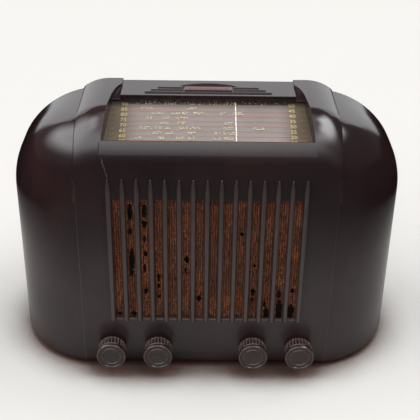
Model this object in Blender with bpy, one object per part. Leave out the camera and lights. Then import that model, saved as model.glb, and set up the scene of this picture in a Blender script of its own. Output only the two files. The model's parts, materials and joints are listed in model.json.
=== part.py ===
"""Tabletop valve radio in a two-part moulded cabinet, built as separate sub-parts in metres.

+X is to the right of a listener in front, +Y goes back into the set, +Z is up. The origin is on the
table, under the middle of the whole object. Places inside the cabinet are given as (x, back, up):
back is the distance behind the cabinet's front face, up the height over a level just above its underside.
"""

import math

import bmesh
import bpy
from mathutils import Vector

GAP = 0.0003

# Cabinet, overall. Two rounded shells meet at the parting plane, and a raised band runs over both.
CABINET_DEPTH = 0.185
HALF_WIDTH = 0.1845
END_TOP = 0.248
BAND_TOP = 0.2565
UNDERSIDE = -0.002
FOOT_HEIGHT = 0.003
KNOB_REACH = 0.0188
WALL = 0.0035
PARTING = 0.104

# Roundings of the two ends: seen from above, from the side and from the front.
FRONT_PLAN_RADIUS = 0.083
REAR_PLAN_RADIUS = 0.090
FRONT_TOP_RADIUS = 0.042
REAR_TOP_RADIUS = 0.105
REAR_STEP = 0.003
SHOULDER_X = 0.098
SHOULDER_UP = 0.162
BOTTOM_RADIUS = 0.007

# Raised centre band.
BAND_HALF = 0.1175
BAND_PROUD = 0.0004
CROWN_START = 0.092
CROWN_RADIUS = 0.040

# Dial well and the flat panel behind it.
PANEL_HALF = 0.080
PANEL_FRONT = 0.0678
PANEL_UP = 0.2545
PANEL_THICK = 0.0032
WELL_BLOCK_HALF = 0.0952
# The well's half-width at each depth: nearly straight cheeks that close in beside the panel.
CHEEKS = ((0.0926, 0.0070), (0.0922, 0.0110), (0.0904, 0.0340), (0.0883, 0.0600),
          (0.0872, 0.0700), (0.0858, 0.0770), (0.0836, 0.0840), (0.0800, 0.0910))
# Trim on the panel: the rows' distance back, half-length and height, then the badge between them.
SPEED_LINES = ((0.0745, 0.0585, 0.0012), (0.0793, 0.0530, 0.0015), (0.0841, 0.0470, 0.0018))
SPEED_LINE_HALF = 0.0015
BADGE_HALF, BADGE_FRONT, BADGE_BACK = 0.0220, 0.0767, 0.0845
BADGE_PAD_RISE, BADGE_THICK = 0.0008, 0.0012
FAN_HALF, FAN_DEPTH, FAN_RISE = 0.029, 0.0090, 0.0026
GLASS_FRONT = 0.0075
GLASS_BACK = 0.0742
GLASS_HALF = 0.0945
GLASS_THICK = 0.003
GLASS_SLOPE = math.radians(17.1)
GLASS_PIVOT = (0.014, 0.232)
PLATE_DROP = 0.0265

# Grille.
RIB_COUNT = 15
RIB_SPAN = 0.176
RIB_WIDTH = 0.0048
RIB_PROUD = 0.0030
SLOT_EDGE = 0.0025
SLOT_LOW, SLOT_HIGH = 0.0528, 0.1826
RIB_TIP = 0.203

# Controls, left to right: volume, tone, wavechange, tuning.
KNOB_UP = 0.0212
KNOB_RADIUS = 0.0142
KNOB_X = {"volume": -0.090, "tone": -0.0455, "wavechange": 0.0455, "tuning": 0.090}
SHAFT_RADIUS = 0.0031
APRON = 0.018

# Chassis and loudspeaker.
CHASSIS_HALF = 0.140
CHASSIS_LOW, DECK_UP = 0.0050, 0.048
CHASSIS_BACK = 0.160
SHEET = 0.0015
SPEAKER_UP = 0.1177
SPEAKER_FLANGE = 0.0635

# Tuning drive: all in one plane, so that the cord runs flat.
DRIVE_BACK = 0.041
DRUM_X, DRUM_UP, DRUM_RADIUS = 0.105, 0.120, 0.0477
PULLEY_X, PULLEY_UP, PULLEY_RADIUS = 0.088, 0.226, 0.005
POST_X, POST_UP = 0.0505, 0.2142
POINTER_X = 0.025
CORD_RADIUS = 0.0005
CORD_CLEAR = 0.0009

TOTAL_DEPTH = CABINET_DEPTH - REAR_STEP + KNOB_REACH
FRONT_Y = KNOB_REACH - TOTAL_DEPTH / 2

MATERIALS = {
    "bakelite": ((0.020, 0.011, 0.010), 0.18, 0.0),
    "knob": ((0.045, 0.012, 0.010), 0.22, 0.0),
    "badge": ((0.45, 0.43, 0.42), 0.35, 0.6),
    "glass": ((0.05, 0.04, 0.035), 0.05, 0.0),
    "cloth": ((0.22, 0.075, 0.025), 0.9, 0.0),
    "board": ((0.17, 0.10, 0.05), 0.8, 0.0),
    "cone": ((0.05, 0.045, 0.04), 0.9, 0.0),
    "steel": ((0.45, 0.45, 0.46), 0.4, 0.9),
    "cast": ((0.10, 0.10, 0.11), 0.5, 0.6),
    "aluminium": ((0.70, 0.70, 0.72), 0.35, 1.0),
    "brass": ((0.70, 0.50, 0.22), 0.35, 1.0),
    "varnished": ((0.20, 0.11, 0.04), 0.5, 0.0),
    "envelope": ((0.10, 0.11, 0.12), 0.08, 0.0),
    "phenolic": ((0.09, 0.045, 0.02), 0.5, 0.0),
    "lamp": ((0.80, 0.78, 0.70), 0.1, 0.0),
    "pointer": ((0.85, 0.82, 0.76), 0.5, 0.0),
    "thread": ((0.55, 0.48, 0.33), 0.9, 0.0),
    "rubber": ((0.02, 0.02, 0.02), 0.8, 0.0),
}


def place(x, back, up):
    """A point of the cabinet's own measure as a point of the model."""
    return Vector((x, FRONT_Y + back, FOOT_HEIGHT - UNDERSIDE + up))


def material(name):
    found = bpy.data.materials.get(name)
    if found:
        return found
    colour, roughness, metallic = MATERIALS[name]
    made = bpy.data.materials.new(name)
    made.use_nodes = True
    shader = made.node_tree.nodes["Principled BSDF"]
    shader.inputs["Base Color"].default_value = (*colour, 1.0)
    shader.inputs["Roughness"].default_value = roughness
    shader.inputs["Metallic"].default_value = metallic
    return made


def add_mesh(name, points, faces, finish, origin=(0, 0, 0)):
    """An object from points in the model's frame, with its own origin and its faces turned outwards."""
    origin = Vector(origin)
    mesh = bpy.data.meshes.new(name)
    mesh.from_pydata([Vector(p) - origin for p in points], [], faces)
    shell = bmesh.new()
    shell.from_mesh(mesh)
    bmesh.ops.recalc_face_normals(shell, faces=shell.faces)
    shell.to_mesh(mesh)
    shell.free()
    mesh.shade_smooth()
    mesh.set_sharp_from_angle(angle=math.radians(32))
    mesh.materials.append(material(finish))
    obj = bpy.data.objects.new(name, mesh)
    obj.location = origin
    bpy.context.scene.collection.objects.link(obj)
    return obj


def helper(obj):
    """Marks a cutter or a joined shape, which is no part of its own."""
    obj.hide_render = True
    obj.display_type = "WIRE"
    return obj


def combine(target, operation, shapes):
    for shape in shapes:
        step = target.modifiers.new(f"{operation.lower()} {shape.name}", "BOOLEAN")
        step.operation = operation
        step.object = helper(shape)
        step.solver = "EXACT"
    return target


def cut(target, *cutters):
    return combine(target, "DIFFERENCE", cutters)


def join(target, *shapes):
    return combine(target, "UNION", shapes)


def loft(name, rings, finish, origin=(0, 0, 0)):
    """A solid through closed rings of equal length, capped at both ends."""
    count = len(rings[0])
    faces = [list(range(count)), [len(rings) * count - 1 - i for i in range(count)]]
    for row in range(len(rings) - 1):
        for i in range(count):
            j = (i + 1) % count
            low, high = row * count, (row + 1) * count
            faces.append([low + i, low + j, high + j, high + i])
    return add_mesh(name, [p for ring in rings for p in ring], faces, finish, origin)


def box(name, low, high, finish="steel"):
    """A block between two corners given as (x, back, up)."""
    (x0, b0, u0), (x1, b1, u1) = low, high
    rings = [[place(x, b0, u0), place(x, b1, u0), place(x, b1, u1), place(x, b0, u1)] for x in (x0, x1)]
    return loft(name, rings, finish)


def side_prism(name, outline, half_width, finish="steel"):
    """An outline of (back, up) points drawn across the set, from -half_width to half_width."""
    return loft(name, [[place(x, b, u) for b, u in outline] for x in (-half_width, half_width)], finish)


def turned(name, profile, centre, finish, segments=20, axis="back", closed=False):
    """A solid of revolution. The profile's points are (radius, distance along the axis) from the centre.

    A profile that isn't closed starts and ends on the axis; a closed one is a ring.
    """
    centre = place(*centre)
    points, rows = [], []
    for radius, along in profile:
        on_axis = radius == 0
        rows.append([])
        for i in range(1 if on_axis else segments):
            turn = 2 * math.pi * i / segments
            across, side = radius * math.cos(turn), radius * math.sin(turn)
            step = (across, along, side) if axis == "back" else (across, side, along)
            rows[-1].append(len(points))
            points.append(centre + Vector(step))
    faces = []
    pairs = list(zip(rows, rows[1:])) + ([(rows[-1], rows[0])] if closed else [])
    for low, high in pairs:
        for i in range(segments):
            j = (i + 1) % segments
            corners = [low[i % len(low)], low[j % len(low)], high[j % len(high)], high[i % len(high)]]
            faces.append(list(dict.fromkeys(corners)))
    return add_mesh(name, points, faces, finish, centre)


def turned_blind(name, profile, centre, finish, segments):
    """A turned piece with a blind bore: the profile starts at the bore's mouth and ends at its far end."""
    obj = turned(name, profile, centre, finish, segments)
    shell = bmesh.new()
    shell.from_mesh(obj.data)
    bmesh.ops.bridge_loops(shell, edges=[edge for edge in shell.edges if edge.is_boundary])
    bmesh.ops.recalc_face_normals(shell, faces=shell.faces)
    shell.to_mesh(obj.data)
    shell.free()
    return obj


def rod(name, radius, start, length, finish="steel", axis="back", segments=12):
    return turned(name, [(0, 0), (radius, 0), (radius, length), (0, length)], start, finish, segments, axis)


def cross_rod(name, radius, back, up, x_low, x_high, finish="steel", segments=10):
    """A rod lying along X."""
    rings = []
    for x in (x_low, x_high):
        turns = [2 * math.pi * i / segments for i in range(segments)]
        rings.append([place(x, back + radius * math.cos(a), up + radius * math.sin(a)) for a in turns])
    return loft(name, rings, finish)


def arc(centre, radii, start, end, steps):
    """Points of an elliptical arc about a centre, with angles in degrees."""
    turns = [math.radians(start + (end - start) * i / steps) for i in range(steps + 1)]
    return [(centre[0] + radii[0] * math.cos(a), centre[1] + radii[1] * math.sin(a)) for a in turns]


# ---------------------------------------------------------------- cabinet shells


def grown(reach, radius, inset):
    """How far a rounding of this radius has spread at this reach behind its face, inset from the skin."""
    across = radius - min(reach, radius)
    return math.sqrt(max((radius - inset) ** 2 - across**2, 0.0))


def spread(back, radius, inset, outer, rear):
    """How far the skin stands out at this depth.

    In front it grows from the face until it reaches its outer size. Behind the parting it falls away at
    once, on a rounding that meets the parting at the outer size and the rear face at a right angle.
    """
    if not rear:
        return outer - radius + grown(back, radius, inset)
    lift = radius - grown(CABINET_DEPTH - PARTING, radius, 0.0)
    return outer - radius + lift + grown(CABINET_DEPTH - back, radius, inset)


def end_ring(back, inset, rear):
    """The closed outline of the two ends at one depth, seen from the front."""
    half = spread(back, REAR_PLAN_RADIUS if rear else FRONT_PLAN_RADIUS, inset, HALF_WIDTH, rear)
    top = spread(back, REAR_TOP_RADIUS if rear else FRONT_TOP_RADIUS, inset, END_TOP, rear)
    near = min(back, CABINET_DEPTH - back)
    low = UNDERSIDE + BOTTOM_RADIUS - grown(near, BOTTOM_RADIUS, inset)
    across = max(half - SHOULDER_X, 0.001)
    rise = max(top - SHOULDER_UP, 0.001)
    corner = min(max(BOTTOM_RADIUS - inset, 0.0015), across)
    right = arc((SHOULDER_X + across - corner, low + corner), (corner, corner), -90, 0, 3)
    right += arc((SHOULDER_X, top - rise), (across, rise), 0, 90, 9)
    left = [(-x, up) for x, up in reversed(right)]
    return [place(x, back, up) for x, up in right + left]


def end_stations(inset, rear, edge):
    """Depths of the rings from one face to the edge at the parting, closest where the skin turns fastest."""
    if not rear:
        front = FRONT_PLAN_RADIUS
        return [front - (front - inset) * math.cos(math.radians(9 * i)) for i in range(11)] + [edge]
    centre, radius = CABINET_DEPTH - REAR_TOP_RADIUS, REAR_TOP_RADIUS - inset
    first = math.asin((edge - centre) / radius)
    return [centre + radius * math.sin(first + (math.pi / 2 - first) * i / 8) for i in range(9)]


def ends_solid(name, inset, rear, edge):
    """Both ends as one solid, with the face set back a little from the band's."""
    rings = []
    for back in end_stations(inset, rear, edge):
        ring = end_ring(back, inset, rear)
        share = (PARTING - back) / PARTING
        for point in ring:
            point.y += BAND_PROUD * share
        rings.append(ring)
    return loft(name, rings, "bakelite")


def band_top(x):
    over = max(abs(x) - CROWN_START, 0.0)
    return BAND_TOP - CROWN_RADIUS + math.sqrt(CROWN_RADIUS**2 - over**2)


def band_profile(top, inset, rear, edge):
    """The band seen from the side, as (back, up) points."""
    small = max(BOTTOM_RADIUS - inset, 0.0015)
    near, low = inset + small, UNDERSIDE + inset + small + 0.0006
    if not rear:
        round_top = FRONT_TOP_RADIUS - inset
        points = arc((near, low), (small, small), 270, 180, 3)
        points += arc((FRONT_TOP_RADIUS, top - FRONT_TOP_RADIUS), (round_top, round_top), 180, 90, 9)
        return points + [(edge, top - inset), (edge, low - small)]
    centre, radius = CABINET_DEPTH - REAR_TOP_RADIUS, REAR_TOP_RADIUS - inset
    middle = spread(CABINET_DEPTH, REAR_TOP_RADIUS, REAR_TOP_RADIUS, top, True)
    first = math.degrees(math.acos((edge - centre) / radius))
    points = [(edge, low - small)] + arc((centre, middle), (radius, radius), first, 0, 9)
    return points + arc((CABINET_DEPTH - near, low), (small, small), 0, -90, 3)


def band_solid(name, inset, rear, edge):
    crown = (CROWN_START, CROWN_START + 0.009, CROWN_START + 0.018, BAND_HALF)
    right = [(x, min(x, BAND_HALF - inset)) for x in crown]
    stations = [(-x, -w) for x, w in reversed(right)] + right
    rings = [[place(w, b, u) for b, u in band_profile(band_top(x), inset, rear, edge)] for x, w in stations]
    return loft(name, rings, "bakelite")


def hollow_cabinet(name, inset, rear):
    """One cabinet shell, open towards the parting."""
    ahead = 1 if rear else -1
    edge, beyond = PARTING + ahead * GAP / 2, PARTING - ahead * 0.004
    shell = ends_solid(name, inset, rear, edge)
    join(shell, band_solid(f"{name}_band", inset, rear, edge))
    deep = inset + WALL
    return cut(shell, ends_solid(f"{name}_hollow", deep, rear, beyond),
               band_solid(f"{name}_band_hollow", deep, rear, beyond))


def glass_top(back):
    """Height of the dial glass's upper face."""
    return GLASS_PIVOT[1] + (back - GLASS_PIVOT[0]) * math.tan(GLASS_SLOPE)


def well_block():
    """Solid under the top of the band, which the dial well and the panel are cut from."""
    clear = GAP / math.cos(GLASS_SLOPE)
    under = PANEL_UP - PANEL_THICK
    flat_from = GLASS_PIVOT[0] + (under - clear - GLASS_PIVOT[1]) / math.tan(GLASS_SLOPE)
    start, end = 0.0042, PARTING - 0.0005
    roof = arc((FRONT_TOP_RADIUS, BAND_TOP - FRONT_TOP_RADIUS), (0.0405, 0.0405), 156, 90, 6)
    outline = [(start, glass_top(start) + clear), *roof, (end, 0.2550), (end, under), (flat_from, under)]
    return side_prism("well_block", outline, WELL_BLOCK_HALF, "bakelite")


def well_cutters():
    """The dial opening, the level of the panel, and the ramps beside the panel."""
    sky = 0.2700
    corner = (0.0876, PANEL_FRONT)
    plan = [(x, back) for x, back in CHEEKS if back < PANEL_FRONT] + [corner]
    plan += [(-x, back) for x, back in reversed(plan)]
    levels = [[place(x, back, up) for x, back in plan] for up in (0.2000, sky)]
    opening = loft("well_opening", levels, "bakelite")
    start = PANEL_FRONT - 0.001
    level = box("panel_level", (-PANEL_HALF, start, PANEL_UP), (PANEL_HALF, 0.1100, sky))
    ramps = []
    for side in (-1, 1):
        low, high, run = 0.2503, PANEL_UP + 0.0002, CHEEKS[-1][1] - PANEL_FRONT
        edge = [(PANEL_HALF, start), (corner[0] - 0.0002, start)]
        edge += [(x, back) for x, back in CHEEKS if back > PANEL_FRONT]
        floor = [place(side * x, b, low + (high - low) * (b - PANEL_FRONT) / run) for x, b in edge]
        ramps.append(loft(f"ramp_{'left' if side < 0 else 'right'}",
                          [floor, [place(side * x, b, sky) for x, b in edge]], "bakelite"))
    return [opening, level, *ramps]


def panel_trim():
    """Three raised speed lines, the pad for the badge and the sloping half-round fan behind it."""
    under = PANEL_UP - 0.001
    edge, start = 0.0010, BADGE_BACK - 0.0004
    pad = box("badge_pad", (-BADGE_HALF - edge, BADGE_FRONT - edge, under),
              (BADGE_HALF + edge, BADGE_BACK + edge, PANEL_UP + BADGE_PAD_RISE))
    shapes = [pad]
    for i, (back, half, rise) in enumerate(SPEED_LINES):
        gap = BADGE_HALF + 0.0006
        spans = [(-half, half)] if back < BADGE_FRONT else [(-half, -gap), (gap, half)]
        shapes += [box(f"speed_line_{i}_{j}", (low, back - SPEED_LINE_HALF, under),
                       (high, back + SPEED_LINE_HALF, PANEL_UP + rise)) for j, (low, high) in enumerate(spans)]
    fan = arc((0.0, start), (FAN_HALF, FAN_DEPTH), 0, 180, 10)
    top = [place(x, b, PANEL_UP + 0.0004 + (FAN_RISE - 0.0004) * (b - start) / FAN_DEPTH) for x, b in fan]
    shapes.append(loft("half_round", [[place(x, b, under) for x, b in fan], top], "bakelite"))
    return shapes


def rib_positions():
    pitch = RIB_SPAN / (RIB_COUNT - 1)
    return [-RIB_SPAN / 2 + pitch * i for i in range(RIB_COUNT)]


def grille_rib(index, x):
    """A raised bar with a bullet-shaped upper end."""
    half, flank, crest, root = RIB_WIDTH / 2, 0.0012, 0.0011, 0.0010
    section = [(-half, root), (-half, -flank), (-crest, -RIB_PROUD),
               (crest, -RIB_PROUD), (half, -flank), (half, root)]
    rings = [[place(x + dx, back, up) for dx, back in section] for up in (SLOT_LOW - 0.0012, 0.189)]
    for up, share in ((0.196, 0.72), (RIB_TIP, 0.12)):
        rings.append([place(x + dx * share, root + (back - root) * share, up) for dx, back in section])
    return loft(f"rib_{index:02d}", rings, "bakelite")


def grille_slots():
    ribs = rib_positions()
    return [box(f"slot_{i:02d}", (a + SLOT_EDGE, -0.006, SLOT_LOW), (b - SLOT_EDGE, 0.0065, SLOT_HIGH))
            for i, (a, b) in enumerate(zip(ribs, ribs[1:]))]


COVER_SCREWS = {"low_left": (-0.150, 0.030), "low_right": (0.150, 0.030),
                "high_left": (-0.140, 0.185), "high_right": (0.140, 0.185)}
CHASSIS_BOLTS = {"left": (-0.126, 0.095), "right": (0.126, 0.095)}


def screw_bosses():
    """Bosses in the front shell that the rear cover's screws bite into, each on a web from the side wall."""
    front, rear, web = 0.086, PARTING - 0.0008, 0.0018
    shapes, holes = [], []
    for name, (x, up) in COVER_SCREWS.items():
        wall = math.copysign(0.1830 if up < 0.1 else 0.1800, x)
        low, high = sorted((x, wall))
        shapes.append(box(f"web_{name}", (low, front, up - web), (high, rear, up + web)))
        shapes.append(rod(f"boss_{name}", 0.0062, (x, front - 0.001, up), rear - front + 0.0012))
        holes.append(rod(f"pilot_{name}", 0.0019, (x, PARTING - 0.013, up), 0.020, segments=8))
    return shapes, holes


def cabinet_front():
    shell = hollow_cabinet("cabinet_front", 0.0, False)
    bosses, pilots = screw_bosses()
    ribs = [grille_rib(i, x) for i, x in enumerate(rib_positions())]
    join(shell, well_block(), *bosses, *ribs)
    cut(shell, *well_cutters())
    join(shell, *panel_trim())
    holes = [rod(f"{name}_hole", 0.0055, (x, -0.005, KNOB_UP), 0.013) for name, x in KNOB_X.items()]
    bolts = [rod(f"bolt_hole_{name}", 0.0024, (x, back, -0.004), 0.012, axis="up", segments=8)
             for name, (x, back) in CHASSIS_BOLTS.items()]
    cut(shell, *grille_slots(), *pilots, *holes, *bolts)


VENT_COUNT = 13
VENT_PITCH = 0.015
VENT_HALF = 0.003
VENT_LOW, VENT_HIGH = 0.080, 0.156
TUNNEL_RADIUS, BORE_RADIUS = 0.0064, 0.0042


def rear_reach(x, up, inset):
    """How far back the rear cover's end reaches at this x and height, inset from its skin."""
    near, far = PARTING, CABINET_DEPTH - inset
    for _ in range(24):
        back = (near + far) / 2
        half = spread(back, REAR_PLAN_RADIUS, inset, HALF_WIDTH, True)
        top = spread(back, REAR_TOP_RADIUS, inset, END_TOP, True)
        across, rise = max(half - SHOULDER_X, 0.001), max(top - SHOULDER_UP, 0.001)
        out = math.hypot(max(abs(x) - SHOULDER_X, 0.0) / across, max(up - top + rise, 0.0) / rise)
        near, far = (back, far) if out <= 1 else (near, back)
    return near


def tunnel(name, x, up):
    """A tube for a long screw, from the parting into the cover's sloping rear wall."""
    rings = []
    for radius, at_wall in ((TUNNEL_RADIUS, False), (TUNNEL_RADIUS, True), (0.0010, True)):
        ring = arc((x, up), (radius, radius), 0, 330, 11)
        depths = [rear_reach(*point, REAR_STEP + WALL / 2) if at_wall else PARTING + 0.0006 for point in ring]
        rings.append([place(px, back, pu) for (px, pu), back in zip(ring, depths)])
    return loft(f"tunnel_{name}", rings, "bakelite")


def cabinet_rear():
    """The rear cover, with upright vents, a window for the sockets and four screw tunnels."""
    shell = hollow_cabinet("cabinet_rear", REAR_STEP, True)
    tunnels, bores = [], []
    for name, (x, up) in COVER_SCREWS.items():
        tunnels.append(tunnel(name, x, up))
        bores.append(rod(f"bore_{name}", BORE_RADIUS, (x, PARTING + 0.0045, up), 0.090))
        bores.append(rod(f"screw_hole_{name}", 0.0022, (x, PARTING - 0.005, up), 0.015, segments=8))
    join(shell, *tunnels)
    middle = (VENT_COUNT - 1) / 2
    centres = [(i - middle) * VENT_PITCH for i in range(VENT_COUNT)]
    vents = [box(f"vent_{i:02d}", (x - VENT_HALF, 0.172, VENT_LOW), (x + VENT_HALF, 0.195, VENT_HIGH))
             for i, x in enumerate(centres)]
    window = box("socket_window", (-0.062, 0.172, 0.0135), (0.062, 0.195, 0.0415))
    cut(shell, *bores, *vents, window)


def feet():
    for side, x in (("left", -0.128), ("right", 0.128)):
        for end, back, floor in (("front", 0.040, 0.0), ("rear", 0.150, REAR_STEP)):
            profile = [(0, -FOOT_HEIGHT), (0.0085, -FOOT_HEIGHT), (0.010, floor - GAP), (0, floor - GAP)]
            turned(f"foot_{end}_{side}", profile, (x, back, UNDERSIDE), "rubber", 16, axis="up")


def fasteners():
    for name, (x, up) in COVER_SCREWS.items():
        thread, head = 0.0014, 0.0034
        profile = [(0, -0.0116), (thread, -0.0116), (thread, 0.0049), (head, 0.0049), (head, 0.0063),
                   (0, 0.0071)]
        turned(f"cover_screw_{name}", profile, (x, PARTING, up), "brass", 10)
    for name, (x, back) in CHASSIS_BOLTS.items():
        thread = 0.0019
        profile = [(0, -0.0022), (0.0036, -0.0022), (0.0042, -GAP), (thread, -GAP), (thread, 0.0110),
                   (0, 0.0110)]
        turned(f"chassis_bolt_{name}", profile, (x, back, UNDERSIDE), "steel", 10, axis="up")


# ---------------------------------------------------------------- dial


def sloped(back, drop):
    """Height at a perpendicular distance below the glass's upper face."""
    return glass_top(back) - drop / math.cos(GLASS_SLOPE)


def slope_slab(name, half, back_low, back_high, top, thick, finish):
    """A plate parallel to the glass, its upper face this far below the glass's."""
    outline = [(back_low, sloped(back_low, top)), (back_high, sloped(back_high, top)),
               (back_high, sloped(back_high, top + thick)), (back_low, sloped(back_low, top + thick))]
    return side_prism(name, outline, half, finish)


PLATE_HALF = 0.0935
RAIL_BACK, RAIL_UP, RAIL_RADIUS = 0.035, 0.2300, 0.0015
LAMP_X, LAMP_BACK = 0.074, 0.060


def dial_backplate():
    """The pressed plate under the glass, which carries the pulleys' studs, the cord's post and the rail."""
    plate = slope_slab("dial_backplate", PLATE_HALF, 0.016, 0.072, PLATE_DROP, SHEET, "steel")
    flange = DRIVE_BACK + 0.0030
    for side, name in ((-1, "left"), (1, "right")):
        inner, outer = sorted((side * 0.0815, side * PLATE_HALF))
        start = (side * PULLEY_X, DRIVE_BACK - 0.0026, PULLEY_UP)
        stud = rod(f"stud_{name}", 0.0014, start, 0.0062, segments=8)
        low, high = sorted((side * (PLATE_HALF - 0.0013), side * PLATE_HALF))
        join(plate, box(f"flange_{name}", (inner, flange, 0.2110), (outer, flange + SHEET, 0.2330)), stud,
             box(f"rail_cheek_{name}", (low, 0.0300, 0.2070), (high, 0.0376, 0.2330)))
    join(plate, box("post_bracket", (POST_X - 0.007, flange, 0.2090),
                    (POST_X + 0.007, flange + SHEET, POST_UP + 0.006)))
    lamps = [rod(f"lamp_hole_{side}", 0.0053, (side * LAMP_X, LAMP_BACK, 0.2000), 0.030, axis="up")
             for side in (-1, 1)]
    cut(plate, cross_rod("rail_holes", RAIL_RADIUS + GAP, RAIL_BACK, RAIL_UP, -0.1, 0.1), *lamps,
        box("cord_slot", (0.0400, 0.0382, 0.2000), (0.1000, 0.0438, 0.2195)))
    join(plate, rod("cord_post", PULLEY_RADIUS, (POST_X, DRIVE_BACK - 0.0018, POST_UP), 0.0056, segments=14))


def pointer():
    """The carriage on its rail, with the needle on a foot just under the glass."""
    half, foot_half = 0.006, 0.002
    carriage = box("pointer", (POINTER_X - half, 0.0318, 0.2272), (POINTER_X + half, 0.0432, 0.2336), "pointer")
    needle = slope_slab("needle", 0.0007, 0.015, 0.068, GLASS_THICK + 0.0009, 0.0010, "pointer")
    needle.location.x = POINTER_X
    foot = box("needle_foot", (POINTER_X - foot_half, 0.036, 0.2325),
               (POINTER_X + foot_half, 0.0415, sloped(0.036, 0.0044)))
    join(carriage, foot, needle)
    cord_up = PULLEY_UP + PULLEY_RADIUS + CORD_CLEAR
    cut(carriage, cross_rod("rail_bore", RAIL_RADIUS + GAP, RAIL_BACK, RAIL_UP, -0.05, 0.1),
        cross_rod("cord_bore", 2 * CORD_RADIUS, DRIVE_BACK, cord_up, -0.05, 0.1, segments=8))


def dial_lamps():
    for side, name in ((-1, "left"), (1, "right")):
        profile = [(0, -0.011), (0.0045, -0.011), (0.0045, -0.001), (0.0030, 0.0), (0.0050, 0.0045),
                   (0.0046, 0.0085), (0.0022, 0.0112), (0, 0.0118)]
        turned(f"dial_lamp_{name}", profile, (side * LAMP_X, LAMP_BACK, 0.2225), "lamp", 10, axis="up")


def dial():
    slope_slab("dial_glass", GLASS_HALF, GLASS_FRONT, GLASS_BACK, 0.0, GLASS_THICK, "glass")
    dial_backplate()
    cross_rod("pointer_rail", RAIL_RADIUS, RAIL_BACK, RAIL_UP, -0.0940, 0.0940, "steel")
    pointer()
    dial_lamps()


def badge():
    low = PANEL_UP + BADGE_PAD_RISE + GAP
    box("badge", (-BADGE_HALF, BADGE_FRONT, low), (BADGE_HALF, BADGE_BACK, low + BADGE_THICK), "badge")


# ---------------------------------------------------------------- tuning drive


def wheel_groove(radius, depth, half, bore):
    """Ring profile of a grooved wheel with a bore."""
    return [(bore, -half), (radius + depth, -half), (radius, -half * 0.35), (radius, half * 0.35),
            (radius + depth, half), (bore, half)]


def tuning_drive():
    hub = [(SHAFT_RADIUS + GAP, -0.003), (0.0075, -0.003), (0.0075, -0.0009), (DRUM_RADIUS - 0.004, -0.0009),
           (DRUM_RADIUS - 0.004, -0.0025), (DRUM_RADIUS + 0.0018, -0.0025), (DRUM_RADIUS, -0.0012),
           (DRUM_RADIUS, 0.0012), (DRUM_RADIUS + 0.0018, 0.0025), (DRUM_RADIUS - 0.004, 0.0025),
           (DRUM_RADIUS - 0.004, 0.0009), (0.0075, 0.0009), (0.0075, 0.004), (SHAFT_RADIUS + GAP, 0.004)]
    turned("drive_drum", hub, (DRUM_X, DRIVE_BACK, DRUM_UP), "aluminium", 32, closed=True)
    for side, x in (("left", -PULLEY_X), ("right", PULLEY_X)):
        ring = wheel_groove(PULLEY_RADIUS, 0.0014, 0.0018, 0.0018)
        turned(f"pulley_{side}", ring, (x, DRIVE_BACK, PULLEY_UP), "brass", 14, closed=True)
    neck = SHAFT_RADIUS
    collar = neck + 0.0015
    spindle = [(0, -0.0150), (neck, -0.0150), (neck, 0.0370), (collar, 0.0375), (collar, 0.0385),
               (neck, 0.0395), (neck, 0.0425), (collar, 0.0435), (collar, 0.0445), (0, 0.0450)]
    turned("tuning_spindle", spindle, (KNOB_X["tuning"], 0.0, KNOB_UP), "steel", 12)
    drive_cord()


def tangent(a, b):
    """Where the cord leaves wheel a and meets wheel b.

    A wheel is (x, up, radius, sense); its sense is 1 where the cord goes round it anticlockwise.
    """
    dx, du = b[0] - a[0], b[1] - a[1]
    heading = math.atan2(du, dx) + math.asin((a[3] * a[2] - b[3] * b[2]) / math.hypot(dx, du))
    across, along = math.sin(heading), -math.cos(heading)
    return [(c[0] + c[3] * c[2] * across, c[1] + c[3] * c[2] * along) for c in (a, b)]


def around(wheel, start, end, step):
    """Points round a wheel from start to end in its own sense, at most a step in degrees apart."""
    first = math.atan2(start[1] - wheel[1], start[0] - wheel[0])
    last = math.atan2(end[1] - wheel[1], end[0] - wheel[0])
    sweep = wheel[3] * (wheel[3] * (last - first) % (2 * math.pi))
    count = max(1, math.ceil(abs(sweep) / math.radians(step)))
    turns = [first + sweep * i / count for i in range(count + 1)]
    return [(wheel[0] + wheel[2] * math.cos(t), wheel[1] + wheel[2] * math.sin(t)) for t in turns]


def drive_cord():
    """The closed cord: up the drum, over both pulleys, round the post, down the drum, round the spindle."""
    drum = (DRUM_X, DRUM_UP, DRUM_RADIUS + CORD_CLEAR, 1)
    left = (-PULLEY_X, PULLEY_UP, PULLEY_RADIUS + CORD_CLEAR, 1)
    right = (PULLEY_X, PULLEY_UP, PULLEY_RADIUS + CORD_CLEAR, 1)
    post = (POST_X, POST_UP, PULLEY_RADIUS + CORD_CLEAR, -1)
    spindle = (KNOB_X["tuning"], KNOB_UP, SHAFT_RADIUS + CORD_CLEAR, 1)
    loop = [drum, right, left, post, drum, spindle]
    spans = [tangent(loop[i], loop[(i + 1) % len(loop)]) for i in range(len(loop))]
    line = []
    for i, wheel in enumerate(loop):
        line += around(wheel, spans[i - 1][1], spans[i][0], 8 if wheel is drum else 36)
    curve = bpy.data.curves.new("drive_cord", "CURVE")
    curve.dimensions = "3D"
    curve.bevel_depth = CORD_RADIUS
    curve.bevel_resolution = 0
    spline = curve.splines.new("POLY")
    spline.points.add(len(line) - 1)
    for point, (x, up) in zip(spline.points, line):
        point.co = (*place(x, DRIVE_BACK, up), 1.0)
    spline.use_cyclic_u = True
    curve.materials.append(material("thread"))
    bpy.context.scene.collection.objects.link(bpy.data.objects.new("drive_cord", curve))


VANE_COUNT = 5
VANE_PITCH = 0.0072
VANE_FIRST = 0.062
VANE_THICK = 0.0010


def vane(name, start, radius, inner, angle, finish):
    """A half-round plate about the gang's axis, open side turned to the angle in degrees."""
    outline = arc((0, 0), (radius, radius), angle - 90, angle + 90, 12)
    outline += arc((0, 0), (inner, inner), angle + 90, angle - 90, 4)
    faces = (start, start + VANE_THICK)
    rings = [[place(DRUM_X + x, back, DRUM_UP + up) for x, up in outline] for back in faces]
    return loft(name, rings, finish)


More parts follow.
